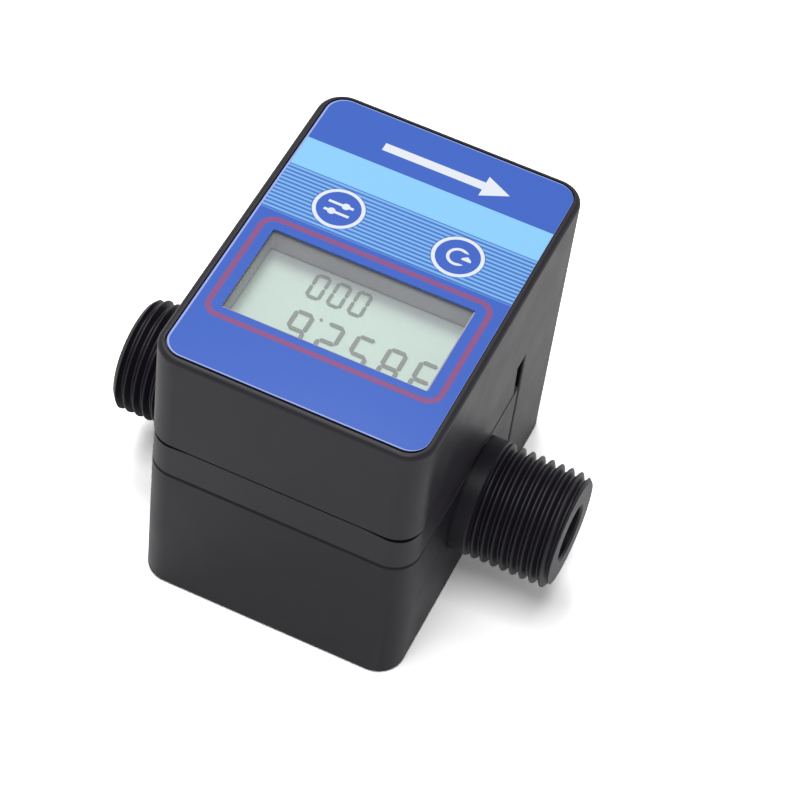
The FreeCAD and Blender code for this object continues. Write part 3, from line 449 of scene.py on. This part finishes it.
lid = copy_node("chamber_lid", "lid_moulding")
lid_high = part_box("chamber_lid")[1]
seam_top = body_high.z + SEAM_CHAMFER
ledge = lid_high.z - LID_GAP
with editing(lid):
    for side in (-1, 1):
        bpy.ops.mesh.select_all(action="SELECT")
        bpy.ops.mesh.bisect(plane_co=(side * SAG_START, 0, 0), plane_no=(1, 0, 0), threshold=TINY)
    for vertex in bmesh.from_edit_mesh(lid.data).verts:
        sag = min(1, (abs(vertex.co.x) - SAG_START) / SAG_LENGTH, (LEDGE_BACK - vertex.co.y) / SAG_DEPTH)
        at_side = abs(vertex.co.x) > lid_high.x - SEAM_CHAMFER
        if abs(vertex.co.z - ledge) < LEDGE_SLACK and sag > 0:
            vertex.co.z -= CORNER_SAG * sag
        elif at_side and abs(vertex.co.z - seam_top) < SEAM_SLACK:
            vertex.co.z += SEAM_RISE
    bmesh.update_edit_mesh(lid.data)
shade(lid, angle=20)

# Painted light: a little lighter than the body and cover, for the band's face that catches more light.
lid_plastic_painted_light = moulded_plastic("black_moulding_lid", dark=colour(30, 27, 34), light=colour(38, 34, 42),
                              roughness=0.44)
settle(lid, "housing", "housing_plastic", lid_plastic_painted_light, "chamber_lid")


# Sensor: a small magnetic switch in a black moulding, soldered to a finger of green circuit board. The finger
# hangs into the lid, over the magnet.

TRACK_PITCH = 1.27 * MM
TRACK_SHARE = 2.9
TRACK_EDGE = 12
BEND_SIZE = 9
WEAVE_SIZE = 0.4


def solder_mask(place):
    """Green lacquer over glass weave, with fine copper tracks showing through as a lighter green."""
    lane = place.node("SeparateXYZ", {0: place}) / TRACK_PITCH + place.noise(BEND_SIZE) * 2
    copper = (TRACK_SHARE - abs(lane.maths("FRACT", lane) - 0.5) * TRACK_EDGE).larger(0).smaller(1)
    weave = place.noise(WEAVE_SIZE)
    return {"Base Color": copper.tint(colour(12, 74, 40), colour(22, 104, 58)),
            "Roughness": weave * 0.15 + 0.25,
            "Normal": (copper + weave * 0.3).bump(0.02)}


board_green = new_material("solder_mask_green", solder_mask)
component_black = moulded_plastic("component_black", dark=colour(24, 24, 25), light=colour(34, 34, 35),
                                  roughness=0.5, grain=0.1)
dress(board_green, "sensor_board")
dress(component_black, "hall_sensor")


# Circuit board: green glass laminate with the controller chip soldered to it, under the display. Four small
# screws hold it to the cover.

dress(board_green, "circuit_board")
dress(component_black, "controller_chip")


# Switches: two black tactile switches soldered to the board, each with a pale moulded plunger that its key
# presses.

plunger_grey = moulded_plastic("plunger_grey", dark=colour(176, 175, 170), light=colour(196, 195, 190),
                               roughness=0.45)
dress(component_black, "switch_bases")
dress(plunger_grey, "reset_switch_plunger", "calibrate_switch_plunger")


# Display carrier: a moulded frame that stands on the board, closes over the display and rises through the cover
# as a collar, with two strips of layered conductive rubber that join the glass to the board. It is coloured a
# darker grey-purple than its off-white plastic: painted shade on the collar walls inside the window.

# Painted shade: grey-purple, darker than the off-white plastic, for the collar walls that stand in shade.
carrier_painted_shade = moulded_plastic("frame_grey_painted_shade", dark=colour(162, 155, 166), light=colour(174, 168, 178),
                               roughness=0.5)
dress(carrier_painted_shade, "lcd_frame")
dress(rubber("zebra_rubber", tone=62), "zebra_strips")


# Display: a liquid crystal cell, plates of glass with a pale green reflector behind, painted grey towards the
# far edge as painted shade from the recess wall. The digits lie under the front glass, so they throw soft
# shadows.
# They read from the far side.

SEGMENT_OF = {"0": "abcdef", "1": "bc", "2": "abged", "3": "abgcd", "4": "fgbc", "5": "afgcd", "6": "afgecd",
              "7": "abc", "8": "abcdefg", "9": "abcdfg"}
REFLECTOR_TOP = 54.35 * MM
DIGIT_LEVEL = 54.55 * MM
DIGIT_THICKNESS = 0.03 * MM
GLASS_GAP = 0.05 * MM
GLASS_EDGE = 0.15 * MM
SEGMENT_GAP = 0.3
SEGMENT_CUT = 0.45
TOTAL_ROW = {"text": "000", "right": -9.42 * MM, "base": -1.24 * MM, "width": 2.75 * MM, "height": 5.6 * MM,
             "pitch": 3.8 * MM, "stroke": 0.56 * MM}
FLOW_ROW = {"text": "38526", "right": -9.17 * MM, "base": -9.94 * MM, "width": 3.6 * MM, "height": 8.4 * MM,
            "pitch": 5.65 * MM, "stroke": 0.72 * MM}
POINT_SIZE = 0.62 * MM
# Painted shade on the reflector: how far its grey reaches in from the far edge, and that grey.
PAINTED_SHADE_DEPTH = 4.5
GREEN_DARK = colour(219, 243, 231)
GREEN_LIGHT = colour(228, 250, 239)
FAR_PAINTED_SHADE = colour(200, 204, 210)


def make_slab(name, low, high, edge):
    """Makes a flat plate between two corners, with ground edges."""
    middle = (Vector(low) + Vector(high)) / 2
    slab = start_piece(name, bpy.ops.mesh.primitive_cube_add, size=1, location=middle)
    slab.scale = Vector(high) - Vector(low)
    bpy.ops.object.transform_apply(location=True, rotation=True, scale=True)
    with editing(slab):
        bpy.ops.mesh.select_all(action="SELECT")
        bpy.ops.mesh.bevel(offset=edge, segments=2, affect="EDGES")
    return slab


def make_bar(middle, length, stroke, upright):
    """Makes one segment of a digit: a thin bar with cut corners."""
    bar = start_piece("segment", bpy.ops.mesh.primitive_plane_add, size=1, location=middle)
    bar.scale = (stroke, length, 1) if upright else (length, stroke, 1)
    bpy.ops.object.transform_apply(location=True, rotation=True, scale=True)
    with editing(bar):
        bpy.ops.mesh.select_all(action="SELECT")
        bpy.ops.mesh.bevel(offset=stroke * SEGMENT_CUT, affect="VERTICES")
        bpy.ops.mesh.select_all(action="SELECT")
        bpy.ops.mesh.extrude_region_move(TRANSFORM_OT_translate={"value": (0, 0, DIGIT_THICKNESS)})
        bpy.ops.mesh.select_all(action="SELECT")
        bpy.ops.mesh.normals_make_consistent(inside=False)
    return bar


def make_row(row):
    """Makes a row of digits that read from the far side, counted from the right-hand one."""
    bars = []
    half_width = (row["width"] - row["stroke"]) / 2
    half_height = (row["height"] - row["stroke"]) / 2
    places = {"a": (0, half_height, False), "g": (0, 0, False), "d": (0, -half_height, False),
              "f": (-half_width, half_height / 2, True), "b": (half_width, half_height / 2, True),
              "e": (-half_width, -half_height / 2, True), "c": (half_width, -half_height / 2, True)}
    for number, digit in enumerate(reversed(row["text"])):
        centre_x = row["right"] + row["width"] / 2 + number * row["pitch"]
        centre_y = row["base"] - row["height"] / 2
        for segment in SEGMENT_OF[digit]:
            right, up, upright = places[segment]
            length = (half_height if upright else 2 * half_width) - row["stroke"] * SEGMENT_GAP
            middle = (centre_x - right, centre_y - up, DIGIT_LEVEL)
            bars.append(make_bar(middle, length, row["stroke"], upright))
    return bars


glass_low, glass_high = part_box("lcd_glass")
front_low = DIGIT_LEVEL + DIGIT_THICKNESS + GLASS_GAP
reflector = make_slab("lcd_reflector", glass_low, (glass_high.x, glass_high.y, REFLECTOR_TOP), GLASS_EDGE)
front_glass = make_slab("lcd_front_glass", (glass_low.x, glass_low.y, front_low), glass_high, GLASS_EDGE)
point_x = FLOW_ROW["right"] + FLOW_ROW["width"] + (FLOW_ROW["pitch"] - FLOW_ROW["width"]) / 2
point = make_bar((point_x, FLOW_ROW["base"] - POINT_SIZE / 2, DIGIT_LEVEL), POINT_SIZE, POINT_SIZE, False)
digits = join([point] + make_row(TOTAL_ROW) + make_row(FLOW_ROW))
digits.name = "lcd_digits"


def print_at(place):
    """The place on a print, as x and y in millimetres, the unit of all sizes in a print."""
    return tuple(place.node("SeparateXYZ", {0: place}, output=number) / MM for number in range(2))


def reflector_green(place):
    y = print_at(place)[1]
    # Painted shade: the green turns grey towards the far edge, under the recess wall.
    far_shade = y.maths("DIVIDE", y + PAINTED_SHADE_DEPTH, PAINTED_SHADE_DEPTH, clamp=True)
    cloud = place.noise(12)
    return {"Base Color": far_shade.tint(cloud.tint(GREEN_DARK, GREEN_LIGHT), FAR_PAINTED_SHADE),
            "Roughness": cloud * 0.1 + 0.5,
            "Normal": place.noise(0.1).bump(0.004)}


def digit_ink(place):
    cloud = place.noise(4)
    return {"Base Color": cloud.tint(colour(118, 126, 123), colour(130, 138, 134)),
            "Roughness": cloud * 0.1 + 0.5}


def clear_sheet(place):
    cloud = place.noise(8)
    return {"Base Color": cloud.tint(colour(226, 236, 232), colour(236, 242, 240)),
            "Roughness": cloud * 0.06 + 0.05}


settle(reflector, "housing", "display_glass", new_material("lcd_reflector_green", reflector_green), "lcd_glass")
settle(digits, "housing", "display_glass", new_material("lcd_digit_grey", digit_ink))
settle(front_glass, "housing", "display_glass", new_material("lcd_clear_glass", clear_sheet, Alpha=0.06))


# Cover: the black upper moulding, with a rear leg for the battery cells. Its top has a shallow recess for the
# label inside a rounded rim, and the long screws from below draw it down on the lid.

cover_plastic = moulded_plastic("black_moulding_cover", dark=colour(26, 23, 31), light=colour(34, 31, 39),
                                roughness=0.42, shine=0.33)
dress(cover_plastic, "display_cover")


# Window: a clear acrylic pane bonded under the label, over the display. Its border has a grey print that masks
# the joint, and lies a little off centre, so that it shows as a thin pale line on the near and right sides: a
# painted highlight along those window edges.

PRINT_SOFT = 0.04
# Off centre for the painted highlight: the border shows as a pale line on the near and right sides only.
BORDER_MIDDLE = (-0.2, -9.85)
BORDER_HALF = (18.3, 9.55)
PANE_ALPHA = 0.08


def inside(distance):
    """A mask for what lies inside an outline, from the signed distance to it in millimetres."""
    return distance.maths("ADD", 0.5, distance * (-1 / PRINT_SOFT), clamp=True)


def pane_print(place):
    x, y = print_at(place)
    within_x = BORDER_HALF[0] - abs(x - BORDER_MIDDLE[0])
    within_y = BORDER_HALF[1] - abs(y - BORDER_MIDDLE[1])
    border = inside(within_x.smaller(within_y))
    cloud = place.noise(8)
    return {"Base Color": border.tint(colour(232, 240, 236), colour(176, 172, 180)),
            "Roughness": cloud * 0.06 + 0.05,
            "Alpha": border * (1 - PANE_ALPHA) + PANE_ALPHA}


dress(new_material("window_acrylic", pane_print), "display_window")


# Label: a polyester film printed from behind and glued into the cover's recess, cut out over the display and
# round the two keys. It stops short of the recess at the near edge. A pale line round its outline, thickest on
# the left and near sides and almost none on the right, is partly the film's pale cut edge and partly painted
# highlight. The black on its cut sides at the near edge is painted shade in the gap.

CUT_EDGE = 0.07 * MM
SIDE_GAP = 0.05 * MM
NEAR_GAP = 0.5 * MM
OUTLINE_SHARE = 0.84
LABEL_CORNER = 3.5
# Painted highlight on the label's cut edge: the width of its pale line, and the middle of the outline it
# follows.
HIGHLIGHT_WIDTH = 0.2
HIGHLIGHT_MIDDLE = (0.15, 0.28)
NEAR_ZONE = -30.0
FILM_TOP = 0.1
BAND = (14.6, 21.5)
STRIPES_NEAR = 3.3
STRIPE_PITCH = 0.848
STRIPE_TINT = 0.64
GROUND_TINT = 0.09
ARROW_Y = 25.85
ARROW_TAIL = -10.4
ARROW_NECK = 8.3
ARROW_TIP = 13.1
ARROW_HALF_SHAFT = 0.9
ARROW_HALF_HEAD = 2.45
FRAME_MIDDLE = (0.0, -10.0)
FRAME_HALF = (20.7, 11.75)
FRAME_CORNER = 2.4
FRAME_STROKE = 1.05
ROYAL_BLUE = colour(67, 104, 198)
LIGHT_BLUE = colour(142, 206, 248)
PRINT_WHITE = colour(230, 234, 243)
FRAME_RED = colour(143, 87, 137)
# The pale line of the painted highlight on the cut edge.
PAINTED_EDGE_HIGHLIGHT = colour(158, 176, 238)
# Painted shade: the black on the film's cut sides at the near edge.
PAINTED_GAP_SHADE = colour(16, 15, 22)
FILM_SHINE = 0.28
FILM_ROUGHNESS = 0.125
INK_GRAIN = 0.35
INK_GLOSS = 0.1
INK_DEPTH = 0.003


def round_box(x, y, middle, half, corner):
    """The signed distance to a rectangle with round corners."""
    over_x = abs(x - middle[0]) - (half[0] - corner)
    over_y = abs(y - middle[1]) - (half[1] - corner)
    outside = (over_x.larger(0) ** 2 + over_y.larger(0) ** 2) ** 0.5
    return outside + over_x.larger(over_y).smaller(0) - corner


def printed_film(place, paint):
    """The film over its print, with the faint grain of the ink in its shine."""
    ink = place.noise(INK_GRAIN)
    return {"Base Color": paint,
            "Roughness": ink * INK_GLOSS + FILM_ROUGHNESS,
            "Normal": ink.bump(INK_DEPTH)}


def label_print(place):
    x, y = print_at(place)
    band = inside(abs(y - sum(BAND) / 2) - (BAND[1] - BAND[0]) / 2)
    lined = inside((STRIPES_NEAR - y).larger(y - BAND[0]))
    phase = (y - BAND[0]) / STRIPE_PITCH
    stripe = inside((abs(phase.maths("FRACT", phase) - 0.5) - 0.25) * STRIPE_PITCH)
    shaft = (abs(y - ARROW_Y) - ARROW_HALF_SHAFT).larger(ARROW_TAIL - x).larger(x - ARROW_NECK)
    slope = ARROW_HALF_HEAD / (ARROW_TIP - ARROW_NECK)
    head = (abs(y - ARROW_Y) - (ARROW_TIP - x) * slope).larger(ARROW_NECK - x)
    arrow = inside(shaft.smaller(head))
    ring = inside(abs(round_box(x, y, FRAME_MIDDLE, FRAME_HALF, FRAME_CORNER)) - FRAME_STROKE / 2)
    # Painted highlight along the cut edge, partly the film's pale edge: the outline is moved right and far, so
    # the line is thickest on the left and near sides.
    edge = inside(-HIGHLIGHT_WIDTH - round_box(x, y, HIGHLIGHT_MIDDLE, label_half / MM, LABEL_CORNER))
    height = place.node("SeparateXYZ", {0: place}, output=2) / MM
    # Painted shade: black on the film's cut sides at the near edge, where the gap lies in shade.
    gap_shade = inside((height - (recess_half.z / MM - FILM_TOP)).larger(y - NEAR_ZONE))
    paint = (lined * (stripe * STRIPE_TINT + GROUND_TINT)).larger(band).tint(ROYAL_BLUE, LIGHT_BLUE)
    paint = arrow.tint(paint, PRINT_WHITE)
    paint = ring.tint(paint, FRAME_RED)
    paint = edge.tint(paint, PAINTED_EDGE_HIGHLIGHT)
    return printed_film(place, gap_shade.tint(paint, PAINTED_GAP_SHADE))


def in_outline(vertex):
    """Tells the film's outline from its openings."""
    return max(abs(vertex.co.x) / recess_half.x, abs(vertex.co.y) / recess_half.y) > OUTLINE_SHARE


recess_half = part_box("face_label")[1]
label_half = recess_half - Vector((SIDE_GAP, NEAR_GAP / 2, 0))
label = copy_node("face_label", "printed_label")
with editing(label):
    bpy.ops.mesh.select_all(action="SELECT")
    bpy.ops.mesh.dissolve_limited(angle_limit=math.radians(1))
    select(label, "VERT", in_outline)
    shrink = (label_half.x / recess_half.x, label_half.y / recess_half.y, 1)
    bpy.ops.transform.resize(value=shrink, center_override=(0, recess_half.y, 0))
apply_modifier(label, "BEVEL", width=CUT_EDGE, segments=2, limit_method="ANGLE", angle_limit=math.radians(40))
shade(label, angle=15)

label_film = new_material("label_print", label_print, Specular_IOR_Level=FILM_SHINE)
settle(label, "housing", "label_film", label_film, "face_label")


# Keys: the two discs of the label film over the switches, each printed with a white ring and a plain sign,
# with a post behind that reaches the switch. They travel a little when pressed.

KEY_GAP = 0.03 * MM
KEY_HOLE = 4.65 * MM
KEY_FILM = 0.4 * MM
KEY_POST = 1.5 * MM
KEY_SIDES = 96
KEY_BLUE = colour(104, 150, 232)
RING_OUTER = 4.5
RING_STROKE = 0.65
SIGN_STROKE = 0.55
LOOP_RADIUS = 1.7
LOOP_OPENING = (0.25, 1.3)
HEAD_MIDDLE = (1.55, 0.2)
HEAD_HALF = (0.85, 0.5)
HEAD_SLOPE = 0.75
HEAD_TIP = 0.75
SLIDER_RISE = 1.0
SLIDER_HALF = 2.3
BEAD_SHIFT = 0.9
BEAD_RADIUS = 0.72


def make_key(node):
    """Makes a key: a film disc with a softened rim and a post from its underside."""
    low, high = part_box(node)
    middle = (low + high) / 2
    underside = high.z - KEY_FILM
    key = start_piece(node + "_film", bpy.ops.mesh.primitive_cylinder_add, vertices=KEY_SIDES,
                      radius=KEY_HOLE - KEY_GAP, depth=KEY_FILM,
                      location=(middle.x, middle.y, high.z - KEY_FILM / 2))
    bpy.ops.object.transform_apply(location=True, rotation=True, scale=True)
    with editing(key):
        select(key, "FACE", lambda face: face.normal.z < -0.9)
        bpy.ops.mesh.inset(thickness=KEY_HOLE - KEY_GAP - KEY_POST)
        bpy.ops.mesh.extrude_region_move(TRANSFORM_OT_translate={"value": (0, 0, low.z - underside)})
        select(key, "EDGE", lambda edge: all(vertex.co.z > high.z - TINY for vertex in edge.verts))
        bpy.ops.mesh.bevel(offset=CUT_EDGE, segments=2, affect="EDGES")
    shade(key, angle=15)
    return key


def key_print(middle, sign):
    """Prints a ring and a sign about a key's middle, given in millimetres."""
    def surface(place):
        x, y = print_at(place)
        across = x - middle[0]
        up = y - middle[1]
        radius = (across ** 2 + up ** 2) ** 0.5
        ring = inside(abs(radius - (RING_OUTER - RING_STROKE / 2)) - RING_STROKE / 2)
        white = ring.larger(inside(sign(across, up, radius)))
        surround = inside(RING_OUTER - radius)
        return printed_film(place, white.tint(surround.tint(ROYAL_BLUE, KEY_BLUE), PRINT_WHITE))
    return surface


def return_sign(across, up, radius):
    """A loop that starts again: an open ring with an arrow head."""
    loop = abs(radius - LOOP_RADIUS) - SIGN_STROKE / 2
    opening = (LOOP_OPENING[0] - across).larger(abs(up) - LOOP_OPENING[1])
    aside = abs(across - HEAD_MIDDLE[0])
    flanks = aside * HEAD_SLOPE + up - HEAD_TIP
    head = (aside - HEAD_HALF[0]).larger(abs(up - HEAD_MIDDLE[1]) - HEAD_HALF[1]).larger(flanks)
    return loop.larger(opening * -1).smaller(head)


def trim_sign(across, up, radius):
    """Two sliders: a bar with a bead on each."""
    sliders = []
    for side in (-1, 1):
        aside = across - side * BEAD_SHIFT
        above = up - side * SLIDER_RISE
        bar = (abs(above) - SIGN_STROKE / 2).larger(abs(across) - SLIDER_HALF)
        bead = (aside ** 2 + above ** 2) ** 0.5 - BEAD_RADIUS
        sliders.append(bar.smaller(bead))
    return sliders[0].smaller(sliders[1])


for node, sign in (("reset_key", return_sign), ("calibrate_key", trim_sign)):
    key_middle = sum(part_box(node), Vector()) / (2 * MM)
    film = new_material(node + "_print", key_print(key_middle, sign), Specular_IOR_Level=FILM_SHINE)
    settle(make_key(node), node, "label_film", film, node)


# Cells and contacts: two plain-sleeved cells in the rear leg, joined below by a nickel-plated bridge and led to
# the board by two strips.

def cell_sleeve(place):
    wrap = place.noise(2, detail=3)
    return {"Base Color": wrap.tint(colour(150, 152, 156), colour(178, 180, 184)),
            "Roughness": wrap * 0.2 + 0.25,
            "Normal": wrap.bump(0.01, strength=0.4)}


dress(new_material("cell_sleeve_plain", cell_sleeve, Metallic=0.8), "battery_cells")
nickel = ground_steel("nickel_strip", dark=colour(186, 182, 172), light=colour(214, 210, 200), roughness=0.28)
dress(nickel, "battery_bridge", "battery_terminals")


# Battery door: a flat black moulding let into the back, on a rubber seal. Two screws hold it, and the cells
# come out behind it.

door_plastic = moulded_plastic("black_moulding_door", dark=colour(27, 24, 32), light=colour(35, 32, 40),
                               roughness=0.44)
dress(door_plastic, "battery_door")
dress(seal_rubber, "door_seal")


# Screws: zinc-plated steel with pan heads and cross recesses: four long ones that clamp the housing from below,
# four that hold the board and two in the battery door.

CLAMP_HEAD = 2.75 * MM
DOOR_HEAD = 1.75 * MM
HEAD_ROUND = 0.3
RECESS_REACH = 0.62
RECESS_WIDTH = 0.3
RECESS_DRAFT = 0.55
PUNCH_PROUD = 0.25


def make_punch(head, inward, radius):
    """Makes a tapered cross that stands in the middle of a screw head and points into it."""
    width = radius * RECESS_WIDTH
    arm = radius * RECESS_REACH - width / 2
    punch = start_piece("punch", bpy.ops.mesh.primitive_plane_add, size=width)
    with editing(punch):
        for axis, side in ((0, -1), (0, 1), (1, -1), (1, 1)):
            select(punch, "EDGE", lambda edge: all(abs(vertex.co[axis] - side * width / 2) < TINY
                                                   and abs(vertex.co[1 - axis]) < width / 2 + TINY
                                                   for vertex in edge.verts))
            outward = [0, 0, 0]
            outward[axis] = side * arm
            bpy.ops.mesh.extrude_edges_move(TRANSFORM_OT_translate={"value": outward})
        bpy.ops.mesh.select_all(action="SELECT")
        bpy.ops.transform.translate(value=(0, 0, -radius * PUNCH_PROUD))
        bpy.ops.mesh.extrude_region_move(TRANSFORM_OT_translate={"value": (0, 0, radius)})
        bpy.ops.transform.resize(value=(RECESS_DRAFT, RECESS_DRAFT, 1), center_override=(0, 0, radius))
        bpy.ops.mesh.select_all(action="SELECT")
        bpy.ops.mesh.normals_make_consistent(inside=False)
    punch.data.transform(Matrix.Translation(head) @ inward.to_track_quat("Z", "Y").to_matrix().to_4x4())
    return punch


def turn_screws(node, inward, radius, heads):
    """Rounds the heads of a node's screws and sinks a cross recess in each."""
    screws = copy_node(node, node + "_turned")
    face = min(corner.dot(inward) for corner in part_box(node))
    with editing(screws):
        bpy.ops.mesh.select_all(action="SELECT")
        bpy.ops.mesh.dissolve_limited(angle_limit=math.radians(1))
        select(screws, "EDGE", lambda edge: all(vertex.co.dot(inward) < face + TINY for vertex in edge.verts))
        bpy.ops.mesh.bevel(offset=radius * HEAD_ROUND, segments=4, affect="EDGES")
    for head in heads:
        punch = make_punch(head, inward, radius)
        apply_modifier(screws, "BOOLEAN", operation="DIFFERENCE", object=punch, solver="EXACT")
        bpy.data.objects.remove(punch)
    shade(screws, angle=30)
    settle(screws, "housing", "screw_steel", screw_zinc, node)


screw_zinc = ground_steel("screw_zinc", dark=colour(140, 141, 142), light=colour(182, 182, 178), roughness=0.32)
dress(screw_zinc, "board_screws")

low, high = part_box("assembly_screws")
clamp_places = [(x, y, low.z) for x in (low.x + CLAMP_HEAD, high.x - CLAMP_HEAD)
                for y in (low.y + CLAMP_HEAD, high.y - CLAMP_HEAD)]
turn_screws("assembly_screws", Vector((0, 0, 1)), CLAMP_HEAD, clamp_places)
low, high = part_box("door_screws")
door_places = [(x, high.y, (low.z + high.z) / 2) for x in (low.x + DOOR_HEAD, high.x - DOOR_HEAD)]
turn_screws("door_screws", Vector((0, -1, 0)), DOOR_HEAD, door_places)


# Stage: a plain pale floor in a pale room with a dim ceiling, lit by two large soft lamps overhead and seen by
# the photograph's camera.

FLOOR_SIZE = 1.2
FLOOR_TONE = 0.95
FLOOR_WHITE = 2.0
FLOOR_ROUGHNESS = 0.9
SKY_LIGHT = 0.5
SKY_FALL = 0.75
LAMP_DISTANCE = 0.9
LAMP_AIM = Vector((0, 0, 40)) * MM
FAR_LAMP = {"direction": Vector((-0.25, 0.33, 1.0)), "size": 0.35, "power": 3.4}
NEAR_LAMP = {"direction": Vector((0.02, -0.3, 1.0)), "size": 0.45, "power": 3.7}
AIM = Vector((15.375, -23.774, 60.15)) * MM
VIEW_AZIMUTH = math.radians(18.2744)
VIEW_ELEVATION = math.radians(50.5147)
VIEW_ROLL = math.radians(8.2951)
VIEW_DISTANCE = 467.662 * MM
LENS = 132.82
SENSOR = 36.0
NEAREST = 10 * MM

floor = start_piece("floor", bpy.ops.mesh.primitive_plane_add, size=FLOOR_SIZE)


def ray_kinds(tree):
    """Two masks: what the camera sees for itself, and what gloss and glass show."""
    outputs = tree.nodes.new("ShaderNodeLightPath").outputs
    rays = {name: Socket(tree, output) for name, output in outputs.items()}
    return rays["Is Camera Ray"], rays["Is Glossy Ray"].larger(rays["Is Transmission Ray"])


floor_paint = bpy.data.materials.new("pale_floor")
floor_paint.use_nodes = True
tree = floor_paint.node_tree
seen, shown = ray_kinds(tree)
paper = tree.nodes["Principled BSDF"]
paper.inputs["Roughness"].default_value = FLOOR_ROUGHNESS
paper.inputs["Specular IOR Level"].default_value = 0.0
white = (seen * FLOOR_WHITE).larger(shown).larger(FLOOR_TONE)
tree.links.new(white.output, paper.inputs["Base Color"])
floor.data.materials.append(floor_paint)

scene = bpy.context.scene
scene.view_settings.view_transform = "Standard"
world = bpy.data.worlds.new("studio")
scene.world = world
world.use_nodes = True
tree = world.node_tree
seen, shown = ray_kinds(tree)
direction = Socket(tree, tree.nodes.new("ShaderNodeTexCoord").outputs["Generated"])
height = direction.node("SeparateXYZ", {0: direction}, output=2)
dimmed = 1 - height.larger(0) * SKY_FALL
strength = seen.larger(dimmed * (shown * (1 - SKY_LIGHT) + SKY_LIGHT))
sky = tree.nodes["Background"]
sky.inputs["Color"].default_value = (1, 1, 1, 1)
tree.links.new(strength.output, sky.inputs["Strength"])


def add_softbox(name, direction, size, power):
    """Hangs a square soft lamp in a direction from the middle of the object, facing it."""
    lamp = bpy.data.lights.new(name, "AREA")
    lamp.size = size
    lamp.energy = power
    box = bpy.data.objects.new(name, lamp)
    scene.collection.objects.link(box)
    box.location = LAMP_AIM + direction.normalized() * LAMP_DISTANCE
    box.rotation_euler = direction.to_track_quat("Z", "Y").to_euler()


add_softbox("far_softbox", **FAR_LAMP)
add_softbox("near_softbox", **NEAR_LAMP)

camera = bpy.data.objects.new("camera", bpy.data.cameras.new("camera"))
scene.collection.objects.link(camera)
camera.data.lens = LENS
camera.data.sensor_width = SENSOR
camera.data.clip_start = NEAREST
level = math.cos(VIEW_ELEVATION)
outward = Vector((math.sin(VIEW_AZIMUTH) * level, -math.cos(VIEW_AZIMUTH) * level, math.sin(VIEW_ELEVATION)))
camera.location = AIM + outward * VIEW_DISTANCE
camera.rotation_mode = "QUATERNION"
camera.rotation_quaternion = (-outward).to_track_quat("-Z", "Y") @ Quaternion((0, 0, 1), VIEW_ROLL)
scene.camera = camera

bpy.context.view_layer.update()
